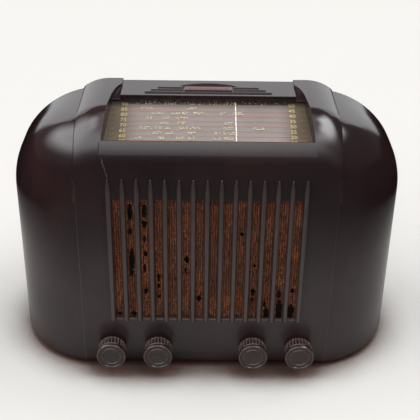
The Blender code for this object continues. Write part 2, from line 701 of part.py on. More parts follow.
def tuning_gang():
    rotor = rod("gang_rotor", SHAFT_RADIUS, (DRUM_X, 0.0370, DRUM_UP), 0.0745, "aluminium")
    starts = [VANE_FIRST + VANE_PITCH * i for i in range(VANE_COUNT)]
    join(rotor, *[vane(f"rotor_vane_{i}", start, 0.024, 0.0020, 63, "aluminium")
                  for i, start in enumerate(starts)])
    stator = box("gang_stator", (0.0745, 0.0600, 0.1165), (0.0775, 0.0985, 0.1235), "aluminium")
    between = [start + VANE_PITCH / 2 for start in starts[:-1]]
    join(stator, *[vane(f"stator_vane_{i}", start, 0.0285, 0.0065, 180, "aluminium")
                   for i, start in enumerate(between)])
    frame = box("gang_frame", (0.0710, 0.0510, 0.0860), (0.1390, 0.1060, 0.0880), "steel")
    plates = [box("gang_front_plate", (0.0710, 0.0510, 0.0870), (0.1390, 0.0528, 0.1500)),
              box("gang_rear_plate", (0.0710, 0.1042, 0.0870), (0.1390, 0.1060, 0.1500)),
              box("gang_pillar_front", (0.0790, 0.0540, 0.0484), (0.1310, 0.0560, 0.0870)),
              box("gang_pillar_rear", (0.0790, 0.1010, 0.0484), (0.1310, 0.1030, 0.0870))]
    join(frame, *plates)
    cut(frame, rod("gang_bearings", SHAFT_RADIUS + GAP, (DRUM_X, 0.0450, DRUM_UP), 0.070))


# ---------------------------------------------------------------- controls


def knob(name, x):
    """A control knob: drum, step, domed rim and a sunk centre, with a blind bore for its shaft."""
    bore, rim, drum = SHAFT_RADIUS + GAP, KNOB_RADIUS, 0.0132
    profile = [(bore, -0.0030), (drum, -0.0030), (drum, -0.0118), (rim - 0.0004, -0.0132), (rim, -0.0150),
               (rim - 0.0008, -0.0180), (rim - 0.0024, -KNOB_REACH), (0.0098, -0.0178), (0, -0.0172),
               (0, -0.0160), (bore, -0.0160)]
    turned_blind(f"{name}_knob", profile, (x, 0.0, KNOB_UP), "knob", 24)


def rotary(name, shaft, radius, finish):
    """A control behind the apron, with its neck through the apron and its own turning shaft."""
    x = KNOB_X[shaft]
    rod(f"{shaft}_shaft", SHAFT_RADIUS, (x, -0.0150, KNOB_UP), 0.0390, "steel")
    hollow, neck = SHAFT_RADIUS + GAP, 0.0046
    front, rear, bore_end = APRON + 0.0018, APRON + 0.0150, APRON + 0.0070
    body = [(hollow, 0.0060), (neck, 0.0060), (neck, front), (radius, front), (radius, rear), (0, rear),
            (0, bore_end), (hollow, bore_end)]
    turned_blind(name, body, (x, 0.0, KNOB_UP), finish, 16)


def controls():
    for name, x in KNOB_X.items():
        knob(name, x)
    rotary("volume_control", "volume", 0.0120, "cast")
    rotary("tone_control", "tone", 0.0120, "cast")
    rotary("wavechange_switch", "wavechange", 0.0135, "phenolic")


# ---------------------------------------------------------------- loudspeaker


def loudspeaker():
    box("speaker_cloth", (-0.0930, 0.0038, 0.0470), (0.0930, 0.0045, 0.1890), "cloth")
    board = box("baffle_board", (-0.0960, 0.0049, 0.0450), (0.0960, 0.0088, 0.1920), "board")
    cut(board, rod("baffle_hole", 0.0570, (0.0, 0.0, SPEAKER_UP), 0.020, segments=28))
    outer = SPEAKER_FLANGE
    basket = [(0.0585, 0.0092), (outer, 0.0092), (outer, 0.0108), (0.0600, 0.0108), (0.0330, 0.0440),
              (0.0150, 0.0440), (0.0150, 0.0422), (0.0318, 0.0422), (0.0580, 0.0108)]
    frame = turned("speaker_frame", basket, (0.0, 0.0, SPEAKER_UP), "cast", 28, closed=True)
    cut(frame, *basket_windows())
    cone = [(0.0120, 0.0350), (0.0540, 0.0128), (0.0562, 0.0112), (0.0566, 0.0120), (0.0540, 0.0140),
            (0.0128, 0.0360), (0.0128, 0.0416), (0.0120, 0.0416)]
    turned("speaker_cone", cone, (0.0, 0.0, SPEAKER_UP), "cone", 28, closed=True)
    magnet = [(0, 0.0390), (0.0105, 0.0390), (0.0105, 0.0443), (0.0280, 0.0443), (0.0290, 0.0470),
              (0.0290, 0.0690), (0.0260, 0.0720), (0, 0.0720)]
    turned("speaker_magnet", magnet, (0.0, 0.0, SPEAKER_UP), "cast", 24)


WINDOW_COUNT = 4


def basket_windows():
    """Wedges that open the basket between its arms."""
    cutters = []
    for i in range(WINDOW_COUNT):
        middle = math.radians(45 + 360 / WINDOW_COUNT * i)
        reach = math.radians(30)
        corners = [(0.036, -reach), (0.070, -reach), (0.070, reach), (0.036, reach)]
        plan = [(r * math.cos(middle + a), r * math.sin(middle + a)) for r, a in corners]
        rings = [[place(x, back, SPEAKER_UP + up) for x, up in plan] for back in (0.0150, 0.0400)]
        cutters.append(loft(f"basket_window_{i}", rings, "cast"))
    return cutters


# ---------------------------------------------------------------- chassis and what stands on it

# Each valve's (x, back) on the deck.
VALVES = {"mixer": (0.048, 0.132), "if_amplifier": (0.004, 0.104), "detector": (-0.040, 0.104),
          "output": (-0.078, 0.058), "rectifier": (-0.118, 0.058)}


def chassis():
    front, back = APRON, CHASSIS_BACK
    tray = box("chassis", (-CHASSIS_HALF, front, CHASSIS_LOW), (CHASSIS_HALF, back, DECK_UP), "steel")
    inside = CHASSIS_HALF - SHEET
    hollow = box("chassis_hollow", (-inside, front + SHEET, CHASSIS_LOW + SHEET),
                 (inside, back - SHEET, DECK_UP - SHEET))
    flange = 0.012
    mouth = box("chassis_mouth", (-0.112, front + flange, -0.01), (0.112, back - flange, 0.012))
    holes = [rod(f"{name}_apron_hole", 0.0050, (x, 0.010, KNOB_UP), 0.020) for name, x in KNOB_X.items()]
    holes += [rod(f"{name}_deck_hole", 0.0100, (x, b, 0.040), 0.016, axis="up")
              for name, (x, b) in VALVES.items()]
    holes += [rod(f"{name}_flange_hole", 0.0024, (x, b, 0.000), 0.012, axis="up", segments=8)
              for name, (x, b) in CHASSIS_BOLTS.items()]
    cord_slot = box("deck_cord_slot", (0.0740, DRIVE_BACK - 0.0030, 0.040), (0.1180, DRIVE_BACK + 0.0030, 0.060))
    cut(tray, hollow, mouth, cord_slot, *holes)


def valves():
    for name, (x, back) in VALVES.items():
        seat = DECK_UP + GAP
        plug, cap = 0.0090, 0.0165
        socket = [(0, -0.0060), (plug, -0.0060), (plug, 0.0), (cap, 0.0), (cap, 0.0060), (0, 0.0060)]
        turned(f"{name}_socket", socket, (x, back, seat), "phenolic", 14, axis="up")
        glass = [(0, 0.0063), (0.0158, 0.0063), (0.0158, 0.0220), (0.0140, 0.0230), (0.0150, 0.0300),
                 (0.0150, 0.0700), (0.0130, 0.0800), (0.0070, 0.0865), (0.0025, 0.0890), (0, 0.0930)]
        turned(f"{name}_valve", glass, (x, back, seat), "envelope", 14, axis="up")


def transformer(name, low, high, window):
    """A laminated core with the winding standing out of its two faces."""
    core = box(name, low, high, "varnished")
    mid = (low[0] + high[0]) / 2
    winding = box(f"{name}_winding", (mid - window, low[1] - 0.006, low[2] + window * 0.45),
                  (mid + window, high[1] + 0.006, high[2] - window * 0.45))
    join(core, winding)


def components():
    deck = DECK_UP + GAP
    transformer("mains_transformer", (-0.136, 0.098, deck), (-0.076, 0.138, deck + 0.062), 0.017)
    transformer("output_transformer", (-0.021, 0.052, deck), (0.021, 0.078, deck + 0.034), 0.012)
    for number, (x, back) in enumerate(((0.006, 0.144), (0.086, 0.142)), 1):
        half, tall = 0.012, 0.062
        can = box(f"if_can_{number}", (x - half, back - half, deck), (x + half, back + half, deck + tall),
                  "aluminium")
        edge = can.modifiers.new("rolled edges", "BEVEL")
        edge.width = 0.002
        edge.segments = 2
    can = [(0, 0), (0.0125, 0), (0.0125, 0.0660), (0.0110, 0.0680), (0, 0.0680)]
    turned("smoothing_capacitor", can, (-0.040, 0.146, deck), "aluminium", 16, axis="up")
    back = CHASSIS_BACK + GAP
    strip = box("aerial_earth_strip", (-0.050, back, 0.0190), (-0.006, back + 0.0040, 0.0350), "phenolic")
    cut(strip, *[rod(f"socket_{i}", 0.0020, (-0.042 + 0.014 * i, back - 0.005, 0.027), 0.02, segments=10)
                 for i in range(3)])
    inlet = box("mains_inlet", (0.014, back, 0.0170), (0.046, back + 0.0100, 0.0370), "phenolic")
    cut(inlet, box("inlet_well", (0.0165, back + 0.0025, 0.0195), (0.0435, back + 0.0200, 0.0345)))
    join(inlet, *[rod(f"inlet_pin_{i}", 0.0022, (0.023 + 0.014 * i, back + 0.001, 0.027), 0.0085, segments=10)
                  for i in range(2)])


def main():
    for obj in list(bpy.data.objects):
        bpy.data.objects.remove(obj)
    cabinet_front()
    cabinet_rear()
    feet()
    fasteners()
    dial()
    badge()
    tuning_drive()
    tuning_gang()
    controls()
    loudspeaker()
    chassis()
    valves()
    components()


main()
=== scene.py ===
"""Looks of the tabletop valve radio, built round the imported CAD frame. Metres, +Z up, front to -Y.

Places on the cabinet are given as (x, back, up): back is the distance behind the cabinet's front face,
up the height over the CAD's measuring level, a little above the underside.
"""

import json
import math
import random
from contextlib import contextmanager

import bmesh
import bpy
from mathutils import Matrix, Vector


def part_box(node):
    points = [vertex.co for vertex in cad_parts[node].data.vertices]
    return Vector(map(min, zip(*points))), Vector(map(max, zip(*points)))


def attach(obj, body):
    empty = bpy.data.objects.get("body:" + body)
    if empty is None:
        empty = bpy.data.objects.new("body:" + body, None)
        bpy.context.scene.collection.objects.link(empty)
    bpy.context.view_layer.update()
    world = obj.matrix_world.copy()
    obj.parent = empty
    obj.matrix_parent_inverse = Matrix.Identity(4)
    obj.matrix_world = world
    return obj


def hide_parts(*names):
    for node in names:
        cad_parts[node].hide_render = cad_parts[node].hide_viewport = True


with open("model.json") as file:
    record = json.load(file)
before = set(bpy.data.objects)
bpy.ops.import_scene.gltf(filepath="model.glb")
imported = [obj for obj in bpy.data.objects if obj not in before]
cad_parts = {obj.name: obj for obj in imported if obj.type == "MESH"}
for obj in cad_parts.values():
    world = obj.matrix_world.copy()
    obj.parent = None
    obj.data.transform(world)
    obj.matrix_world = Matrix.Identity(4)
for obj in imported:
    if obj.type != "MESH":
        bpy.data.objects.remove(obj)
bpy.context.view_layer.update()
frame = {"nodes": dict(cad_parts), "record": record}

# ---------------------------------------------------------------- places taken from the frame

SET = "set"
CLOTH_LOW, CLOTH_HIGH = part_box("speaker_cloth")
KNOBS = {name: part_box(f"{name}_knob") for name in ("volume", "tone", "wavechange", "tuning")}

# Cabinet, with the same driving dimensions as the CAD.
LEVEL = 0.005
UNDERSIDE = -0.002
CABINET_DEPTH = 0.185
HALF_WIDTH = 0.1845
END_TOP = 0.248
BAND_TOP = 0.2565
WALL = 0.0035
PARTING = 0.104
GAP = 0.0003
FRONT_PLAN_RADIUS = 0.083
REAR_PLAN_RADIUS = 0.090
FRONT_TOP_RADIUS = 0.042
REAR_TOP_RADIUS = 0.105
REAR_STEP = 0.003
SHOULDER_X = 0.098
SHOULDER_UP = 0.162
BOTTOM_RADIUS = 0.007
BAND_HALF = 0.1175
BAND_PROUD = 0.0004
BAND_EDGE = 0.0009
CROWN_START = 0.092
CROWN_RADIUS = 0.040
PANEL_HALF = 0.080
PANEL_FRONT = 0.0678
PANEL_UP = 0.2545
PANEL_THICK = 0.0032
WELL_BLOCK_HALF = 0.0952
GLASS_SLOPE = math.radians(17.1)
GLASS_PIVOT = (0.014, 0.232)
GLASS_THICK = 0.003
RIB_COUNT = 15
RIB_SPAN = 0.176
RIB_PITCH = RIB_SPAN / (RIB_COUNT - 1)
RIB_WIDTH = 0.0050
RIB_PROUD = 0.0030
SLOT_EDGE = 0.0025
SLOT_LOW, SLOT_HIGH = 0.0528, 0.1826
RIB_SHOULDER, RIB_TIP = 0.1875, 0.203
GRILLE_HALF = 0.0920
KNOB_UP = 0.0212
KNOB_X = {"volume": -0.090, "tone": -0.0455, "wavechange": 0.0455, "tuning": 0.090}
KNOB_REACH = 0.0188
SHAFT_HOLE = 0.0055
FRONT_Y = KNOBS["volume"][0][1] + KNOB_REACH


def place(x, back, up):
    """A point of the cabinet's own measure as a point of the scene."""
    return Vector((x, FRONT_Y + back, LEVEL + up))


# ---------------------------------------------------------------- node materials


def feed(tree, socket, value):
    """Links another node's output into the socket, or sets a plain value on it."""
    if isinstance(value, bpy.types.NodeSocket):
        tree.links.new(value, socket)
    else:
        socket.default_value = value


def new_node(tree, kind, inputs=None, **settings):
    node = tree.nodes.new(kind)
    for key, value in settings.items():
        setattr(node, key, value)
    for key, value in (inputs or {}).items():
        feed(tree, node.inputs[key], value)
    return node


class Nodes:
    """Short hand for building one procedural material on a Principled shader."""

    def __init__(self, name, colour, roughness, metallic=0.0, ior=1.5):
        self.material = bpy.data.materials.new(name)
        self.material.use_nodes = True
        self.tree = self.material.node_tree
        self.shader = self.tree.nodes["Principled BSDF"]
        self.set("Base Color", (*colour, 1.0))
        self.set("Roughness", roughness)
        self.set("Metallic", metallic)
        self.set("IOR", ior)
        self.coordinates = self.add("ShaderNodeTexCoord").outputs["Object"]

    def set(self, socket, value):
        self.shader.inputs[socket].default_value = value

    def add(self, kind, inputs=None, **settings):
        return new_node(self.tree, kind, inputs, **settings)

    def link(self, output, socket):
        self.tree.links.new(output, self.shader.inputs[socket])

    def noise(self, scale, detail=3.0, roughness=0.5, stretch=None):
        vector = self.coordinates
        if stretch:
            vector = self.add("ShaderNodeMapping", {"Vector": vector, "Scale": stretch}).outputs["Vector"]
        inputs = {"Vector": vector, "Scale": scale, "Detail": detail, "Roughness": roughness}
        return self.add("ShaderNodeTexNoise", inputs).outputs["Fac"]

    def ramp(self, factor, stops):
        node = self.add("ShaderNodeValToRGB", {"Fac": factor})
        ramp = node.color_ramp
        while len(ramp.elements) < len(stops):
            ramp.elements.new(0.5)
        for element, (position, value) in zip(ramp.elements, stops):
            element.position = position
            element.color = (*value, 1.0) if isinstance(value, tuple) else (value, value, value, 1.0)
        return node.outputs["Color"]

    def mix(self, factor, first, second):
        node = self.add("ShaderNodeMix", data_type="RGBA")
        for index, value in ((0, factor), (6, first), (7, second)):
            feed(self.tree, node.inputs[index], (*value, 1.0) if isinstance(value, tuple) else value)
        return node.outputs[2]

    def math(self, operation, *values):
        return self.add("ShaderNodeMath", dict(enumerate(values)), operation=operation).outputs[0]

    def range(self, factor, low, high, start=0.0, end=1.0, smooth=False):
        """Maps a factor that runs from start to end to low to high."""
        inputs = {"Value": factor, "From Min": start, "From Max": end, "To Min": low, "To Max": high}
        kind = "SMOOTHSTEP" if smooth else "LINEAR"
        return self.add("ShaderNodeMapRange", inputs, interpolation_type=kind).outputs["Result"]

    def bump(self, height, strength, distance, normal=None):
        inputs = {"Height": height, "Strength": strength, "Distance": distance}
        if normal is not None:
            inputs["Normal"] = normal
        return self.add("ShaderNodeBump", inputs).outputs["Normal"]

    def rounded(self, radius):
        return self.add("ShaderNodeBevel", {"Radius": radius}, samples=6).outputs["Normal"]

    def wear(self):
        """How much painted highlight, wear and dust the piece carries here, as stored per point."""
        return self.add("ShaderNodeAttribute", attribute_name="wear").outputs["Fac"]


def bakelite():
    """Polished dark phenolic moulding: maroon clouds, hazy patches, a soft orange peel, a dusty front, and a
    lighter colour mixed in for painted highlights and dust.
    """
    m = Nodes("bakelite", (0.015, 0.008, 0.009), 0.12, ior=1.58)
    clouds = m.noise(14.0, 5.0, 0.6)
    fleck = m.noise(90.0, 4.0, 0.7)
    cloudy = m.ramp(clouds, [(0.30, (0.0095, 0.0050, 0.0062)), (0.52, (0.0150, 0.0070, 0.0080)),
                             (0.72, (0.0260, 0.0105, 0.0105))])
    flecked = m.mix(m.range(fleck, 0.0, 0.5), cloudy, (0.016, 0.0085, 0.0090))
    # Lightens the colour where points carry painted highlight (bars, band edges) and dust (the sill).
    lightened = m.math("MULTIPLY", m.wear(), m.range(m.noise(220.0, 3.0, 0.7), 0.25, 1.0))
    m.link(m.mix(lightened, flecked, (0.105, 0.080, 0.074)), "Base Color")
    wiped = m.noise(5.0, 4.0, 0.6, stretch=(1.0, 1.0, 0.45))
    scratch = m.noise(60.0, 5.0, 0.75, stretch=(3.0, 1.0, 0.35))
    haze = m.math("MULTIPLY_ADD", wiped, 0.16, m.range(scratch, -0.02, 0.06))
    depth = m.add("ShaderNodeSeparateXYZ", {0: m.coordinates}).outputs["Y"]
    dusty = m.range(depth, 0.19, 0.04, FRONT_Y + 0.001, FRONT_Y + 0.022, True)
    m.link(m.math("ADD", haze, dusty), "Roughness")
    peel = m.noise(55.0, 2.0, 0.5)
    m.link(m.bump(peel, 0.08, 0.0006, m.rounded(0.0007)), "Normal")
    return m.material


def knob_plastic():
    """Knob moulding: a warmer maroon than the cabinet, with greyed edges that are partly wear and partly a
    painted highlight.
    """
    m = Nodes("knob_plastic", (0.03, 0.01, 0.01), 0.25, ior=1.56)
    clouds = m.noise(160.0, 4.0, 0.6)
    dark = m.ramp(clouds, [(0.35, (0.010, 0.0052, 0.0058)), (0.70, (0.024, 0.0100, 0.0090))])
    # The greyer colour on the flute ridges and the rim is wear and a painted highlight.
    fade_and_highlight = m.wear()
    m.link(m.mix(fade_and_highlight, dark, (0.080, 0.048, 0.041)), "Base Color")
    grime = m.noise(300.0, 3.0, 0.6)
    m.link(m.math("MULTIPLY_ADD", fade_and_highlight, 0.25, m.range(grime, 0.10, 0.28)), "Roughness")
    m.link(m.bump(grime, 0.03, 0.0002, m.rounded(0.0004)), "Normal")
    return m.material


WEAVE_PITCH = 0.0022


def weave():
    """Rust-brown grille cloth: a plain weave with darker threads and faded patches."""
    m = Nodes("grille_cloth", (0.2, 0.08, 0.03), 0.92)
    m.set("Specular IOR Level", 0.12)
    m.set("Sheen Weight", 0.05)
    m.set("Sheen Roughness", 0.5)
    drift = m.add("ShaderNodeTexNoise", {"Vector": m.coordinates, "Scale": 30.0, "Detail": 2.0})
    bent = m.add("ShaderNodeVectorMath", {0: drift.outputs["Color"], "Scale": 0.0012}, operation="SCALE")
    moved = m.add("ShaderNodeVectorMath", {0: m.coordinates, 1: bent.outputs[0]}, operation="ADD").outputs[0]
    apart = m.add("ShaderNodeSeparateXYZ", {0: moved})
    turns = 2 * math.pi / WEAVE_PITCH
    across, along = (m.math("SINE", m.math("MULTIPLY", apart.outputs[axis], turns)) for axis in "XZ")
    checker = m.math("MULTIPLY", across, along)
    holes = m.math("MAXIMUM", across, along)
    patches = m.noise(42.0, 5.0, 0.75)
    thread = m.noise(700.0, 3.0, 0.7, stretch=(1.0, 1.0, 0.35))
    base = m.ramp(patches, [(0.32, (0.17, 0.055, 0.028)), (0.54, (0.29, 0.095, 0.044)),
                            (0.76, (0.52, 0.20, 0.080))])
    threaded = m.mix(m.range(thread, 0.0, 1.0, 0.35, 0.65), (0.022, 0.009, 0.007), base)
    m.link(m.mix(m.range(holes, 0.0, 1.0, -0.15, 0.55), (0.004, 0.0025, 0.002), threaded), "Base Color")
    height = m.math("ADD", m.math("MULTIPLY", checker, 0.5), holes)
    m.link(m.bump(height, 0.7, 0.0004), "Normal")
    return m.material


def tinted_metal(name, colour, roughness, metallic=1.0, grain=None):
    """Plated or painted metal with a drawn grain and dull patches."""
    m = Nodes(name, colour, roughness, metallic)
    dull = m.noise(45.0, 4.0, 0.6)
    drawn = m.noise(500.0, 2.0, 0.5, stretch=grain or (0.1, 1.0, 1.0))
    darker = tuple(0.55 * c for c in colour)
    m.link(m.mix(m.range(dull, 0.0, 0.8), colour, darker), "Base Color")
    m.link(m.range(drawn, max(roughness - 0.12, 0.05), roughness + 0.15), "Roughness")
    m.link(m.bump(drawn, 0.08, 0.0002), "Normal")
    return m.material


def moulded(name, dark, light, roughness, scale=60.0, gloss=0.5):
    """Opaque moulded, painted or pressed stuff with clouds of two colours."""
    m = Nodes(name, dark, roughness)
    m.set("Specular IOR Level", gloss)
    clouds = m.noise(scale, 5.0, 0.65)
    m.link(m.ramp(clouds, [(0.3, dark), (0.7, light)]), "Base Color")
    m.link(m.range(clouds, roughness - 0.08, min(roughness + 0.12, 1.0)), "Roughness")
    m.link(m.bump(clouds, 0.15, 0.0004), "Normal")
    return m.material


def clear_glass(name, colour, alpha, roughness):
    """Glass that lets light straight through, with a film of dust on it."""
    m = Nodes(name, colour, roughness)
    dust = m.noise(35.0, 5.0, 0.7)
    m.link(m.range(dust, alpha * 0.7, min(alpha * 1.35, 1.0)), "Alpha")
    m.link(m.range(dust, roughness, roughness + 0.08), "Roughness")
    return m.material


def printed(name, colour, glow=0.0):
    """Flat ink or paint, faded in specks, with a painted glow where glow is set."""
    m = Nodes(name, colour, 0.5)
    fade_and_highlight = m.noise(700.0, 3.0, 0.7)
    faded = tuple(0.55 * c for c in colour)
    m.link(m.mix(m.range(fade_and_highlight, 0.0, 1.0), colour, faded), "Base Color")
    # Painted light: the paint gives off light though it is no lamp.
    if glow:
        m.set("Emission Color", (*colour, 1.0))
        m.set("Emission Strength", glow)
    return m.material


def dial_haze():
    """The field behind the print: a pale clouded coat that darkens towards its ends."""
    m = Nodes("dial_haze", (0.17, 0.13, 0.115), 0.6)
    clouds = m.noise(18.0, 4.0, 0.6)
    pale = m.ramp(clouds, [(0.3, (0.155, 0.130, 0.117)), (0.7, (0.205, 0.175, 0.162))])
    across = m.add("ShaderNodeSeparateXYZ", {0: m.coordinates}).outputs["X"]
    ends = m.range(m.math("ABSOLUTE", across), 0.0, 1.0, 0.060, 0.082, True)
    m.link(m.mix(ends, pale, (0.085, 0.060, 0.044)), "Base Color")
    return m.material


MATERIALS = {
    "bakelite": bakelite(),
    "knob": knob_plastic(),
    "badge": tinted_metal("badge_plate", (0.13, 0.10, 0.10), 0.42, 0.4),
    "glass": clear_glass("dial_glass_clear", (0.30, 0.25, 0.22), 0.05, 0.03),
    "cloth": weave(),
    # Near-black pressed board: painted shade, so the baffle reads dark through the cloth's tears.
    "board": moulded("shaded_pressed_board", (0.004, 0.003, 0.0028), (0.009, 0.006, 0.005), 0.95, gloss=0.05),
    "cone": moulded("cone_paper", (0.016, 0.013, 0.012), (0.030, 0.026, 0.022), 0.92, 200.0),
    "steel": tinted_metal("plated_steel", (0.50, 0.48, 0.44), 0.38, 0.9),
    "cast": tinted_metal("dark_enamel", (0.05, 0.05, 0.055), 0.45, 0.3),
    "magnet": tinted_metal("magnet_enamel", (0.045, 0.045, 0.05), 0.5, 0.3),
    "aluminium": tinted_metal("aluminium_can", (0.68, 0.68, 0.70), 0.32, 1.0, (1.0, 1.0, 0.1)),
    "brass": tinted_metal("aged_brass", (0.55, 0.38, 0.16), 0.36),
    "varnished": moulded("varnished_core", (0.035, 0.022, 0.014), (0.10, 0.055, 0.025), 0.45, 120.0),
    "envelope": clear_glass("valve_glass", (0.08, 0.085, 0.095), 0.62, 0.04),
    "phenolic": moulded("brown_phenolic", (0.055, 0.026, 0.012), (0.10, 0.05, 0.022), 0.5),
    "lamp": clear_glass("lamp_glass", (0.85, 0.80, 0.65), 0.55, 0.03),
    # The pointer's paint carries a painted glow.
    "pointer": printed("glowing_pointer_paint", (0.88, 0.84, 0.78), 0.25),
    "thread": moulded("braided_thread", (0.35, 0.29, 0.19), (0.60, 0.52, 0.36), 0.95, 900.0),
    "rubber": moulded("old_rubber", (0.012, 0.012, 0.012), (0.03, 0.029, 0.028), 0.8),
}


# ---------------------------------------------------------------- mesh tools


MERGE = 1e-6


@contextmanager
def edited(mesh):
    """Opens a mesh for bmesh work and writes it back."""
    shell = bmesh.new()
    shell.from_mesh(mesh)
    yield shell
    shell.to_mesh(mesh)
    shell.free()


def smooth(mesh, sharp):
    """Smooth shading, with crisp edges where faces meet at more than sharp degrees."""
    mesh.shade_smooth()
    mesh.set_sharp_from_angle(angle=math.radians(sharp))


def add_mesh(name, points, faces, finish=None, sharp=32):
    mesh = bpy.data.meshes.new(name)
    mesh.from_pydata([tuple(p) for p in points], [], faces)
    with edited(mesh) as shell:
        bmesh.ops.recalc_face_normals(shell, faces=shell.faces)
    smooth(mesh, sharp)
    if finish:
        mesh.materials.append(MATERIALS[finish] if isinstance(finish, str) else finish)
    obj = bpy.data.objects.new(name, mesh)
    bpy.context.scene.collection.objects.link(obj)
    return obj


def loft(name, rings, finish=None):
    """A closed skin over rings of equally many points, with a flat cap on the first and last ring."""
    count = len(rings[0])
    faces = [list(range(count)), [len(rings) * count - 1 - i for i in range(count)]]
    for row in range(len(rings) - 1):
        for i in range(count):
            j = (i + 1) % count
            low, high = row * count, (row + 1) * count
            faces.append([low + i, low + j, high + j, high + i])
    return add_mesh(name, [p for ring in rings for p in ring], faces, finish)


def box(name, low, high, finish=None):
    (x0, b0, u0), (x1, b1, u1) = low, high
    rings = [[place(x, b0, u0), place(x, b1, u0), place(x, b1, u1), place(x, b0, u1)] for x in (x0, x1)]
    return loft(name, rings, finish)


def side_prism(name, outline, half_width, finish=None):
    return loft(name, [[place(x, b, u) for b, u in outline] for x in (-half_width, half_width)], finish)


def arc(centre, radii, start, end, steps):
    turns = [math.radians(start + (end - start) * i / steps) for i in range(steps + 1)]
    return [(centre[0] + radii[0] * math.cos(a), centre[1] + radii[1] * math.sin(a)) for a in turns]


def circle(centre, radius, segments=24):
    return arc(centre, (radius, radius), 0, 360 - 360 / segments, segments - 1)


def rod(name, radius, start, length, segments=24):
    """A round cutter that runs back from its start."""
    x, back, up = start
    ring = circle((x, up), radius, segments)
    return loft(name, [[place(px, b, pu) for px, pu in ring] for b in (back, back + length)])


def carve(target, steps):
    """Applies a list of (operation, shape) Booleans to the target and removes the shapes."""
    for operation, shape in steps:
        modifier = target.modifiers.new(shape.name, "BOOLEAN")
        modifier.operation = operation
        modifier.object = shape
        modifier.solver = "EXACT"
    bpy.context.view_layer.update()
    graph = bpy.context.evaluated_depsgraph_get()
    mesh = bpy.data.meshes.new_from_object(target.evaluated_get(graph))
    target.modifiers.clear()
    target.data = mesh
    for _, shape in steps:
        bpy.data.objects.remove(shape)
    return target


def cuts(*shapes):
    return [("DIFFERENCE", shape) for shape in shapes]


def joins(*shapes):
    return [("UNION", shape) for shape in shapes]


def finish_mesh(obj):
    """Smooth shading with crisp edges, and no faces or points left over from the Booleans."""
    with edited(obj.data) as shell:
        bmesh.ops.remove_doubles(shell, verts=shell.verts, dist=MERGE)
        bmesh.ops.dissolve_degenerate(shell, edges=shell.edges, dist=MERGE)
    smooth(obj.data, 30)
    return obj


def store_wear(obj, values):
    """Stores at each point, from 0 to 1, how much painted highlight, wear and dust it carries, for the
    materials to read.
    """
    obj.data.attributes.new("wear", "FLOAT", "POINT").data.foreach_set("value", values)


def show(piece, body, slot, *nodes):
    """Rides the piece on its body and hides the CAD nodes that it stands for. The slot is not used."""
    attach(piece, body)
    if nodes:
        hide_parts(*nodes)
    return piece


# ---------------------------------------------------------------- cabinet


def grown(reach, radius, inset):
    """How far an inset quarter round has risen at this reach from its start."""
    across = radius - min(reach, radius)
    return math.sqrt(max((radius - inset) ** 2 - across**2, 0.0))


def spread(back, radius, inset, outer, rear):
    """How far the skin stands out at this depth, as in the CAD."""
    if not rear:
        return outer - radius + grown(back, radius, inset)
    lift = radius - grown(CABINET_DEPTH - PARTING, radius, 0.0)
    return outer - radius + lift + grown(CABINET_DEPTH - back, radius, inset)


def end_ring(back, inset, rear, depth):
    """The body's outline at one distance back: low corners, straight sides and elliptical shoulders."""
    half = spread(back, REAR_PLAN_RADIUS if rear else FRONT_PLAN_RADIUS, inset, HALF_WIDTH, rear)
    top = spread(back, REAR_TOP_RADIUS if rear else FRONT_TOP_RADIUS, inset, END_TOP, rear)
    near = min(back, CABINET_DEPTH - back)
    low = UNDERSIDE + BOTTOM_RADIUS - grown(near, BOTTOM_RADIUS, inset)
    across = max(half - SHOULDER_X, 0.001)
    rise = max(top - SHOULDER_UP, 0.001)
    corner = min(max(BOTTOM_RADIUS - inset, 0.0015), across)
    right = arc((SHOULDER_X + across - corner, low + corner), (corner, corner), -90, 0, 6)
    right += arc((SHOULDER_X, top - rise), (across, rise), 0, 90, 28)
    left = [(-x, up) for x, up in reversed(right)]
    return [place(x, depth, up) for x, up in right + left]


def end_stations(inset, rear, edge):
    if not rear:
        radius = FRONT_PLAN_RADIUS
        return [radius - (radius - inset) * math.cos(math.radians(3 * i)) for i in range(31)] + [edge]
    centre, radius = CABINET_DEPTH - REAR_TOP_RADIUS, REAR_TOP_RADIUS - inset
    first = math.asin((edge - centre) / radius)
    return [centre + radius * math.sin(first + (math.pi / 2 - first) * i / 26) for i in range(27)]


def ends_solid(name, inset, rear, edge):
    """The rounded body of a shell, from its face to its parting edge, without the raised band."""
    rings = []
    for back in end_stations(inset, rear, edge):
        proud = BAND_PROUD * (PARTING - back) / PARTING
        rings.append(end_ring(back, inset, rear, back + proud))
    return loft(name, rings, "bakelite")


def band_top(x):
    over = max(abs(x) - CROWN_START, 0.0)
    return BAND_TOP - CROWN_RADIUS + math.sqrt(CROWN_RADIUS**2 - over**2)


def band_profile(top, inset, rear, edge):
    """The band's side outline, as (back, up) points round one shell's half."""
    small = max(BOTTOM_RADIUS - inset, 0.0015)
    near, low = inset + small, UNDERSIDE + inset + small + 0.0006
    if not rear:
        round_top = FRONT_TOP_RADIUS - inset
        points = arc((near, low), (small, small), 270, 180, 8)
        points += arc((FRONT_TOP_RADIUS, top - FRONT_TOP_RADIUS), (round_top, round_top), 180, 90, 30)
        return points + [(edge, top - inset), (edge, low - small)]
    centre, radius = CABINET_DEPTH - REAR_TOP_RADIUS, REAR_TOP_RADIUS - inset
    middle = spread(CABINET_DEPTH, REAR_TOP_RADIUS, REAR_TOP_RADIUS, top, True)
    first = math.degrees(math.acos((edge - centre) / radius))
    points = [(edge, low - small)] + arc((centre, middle), (radius, radius), first, 0, 30)
    return points + arc((CABINET_DEPTH - near, low), (small, small), 0, -90, 8)


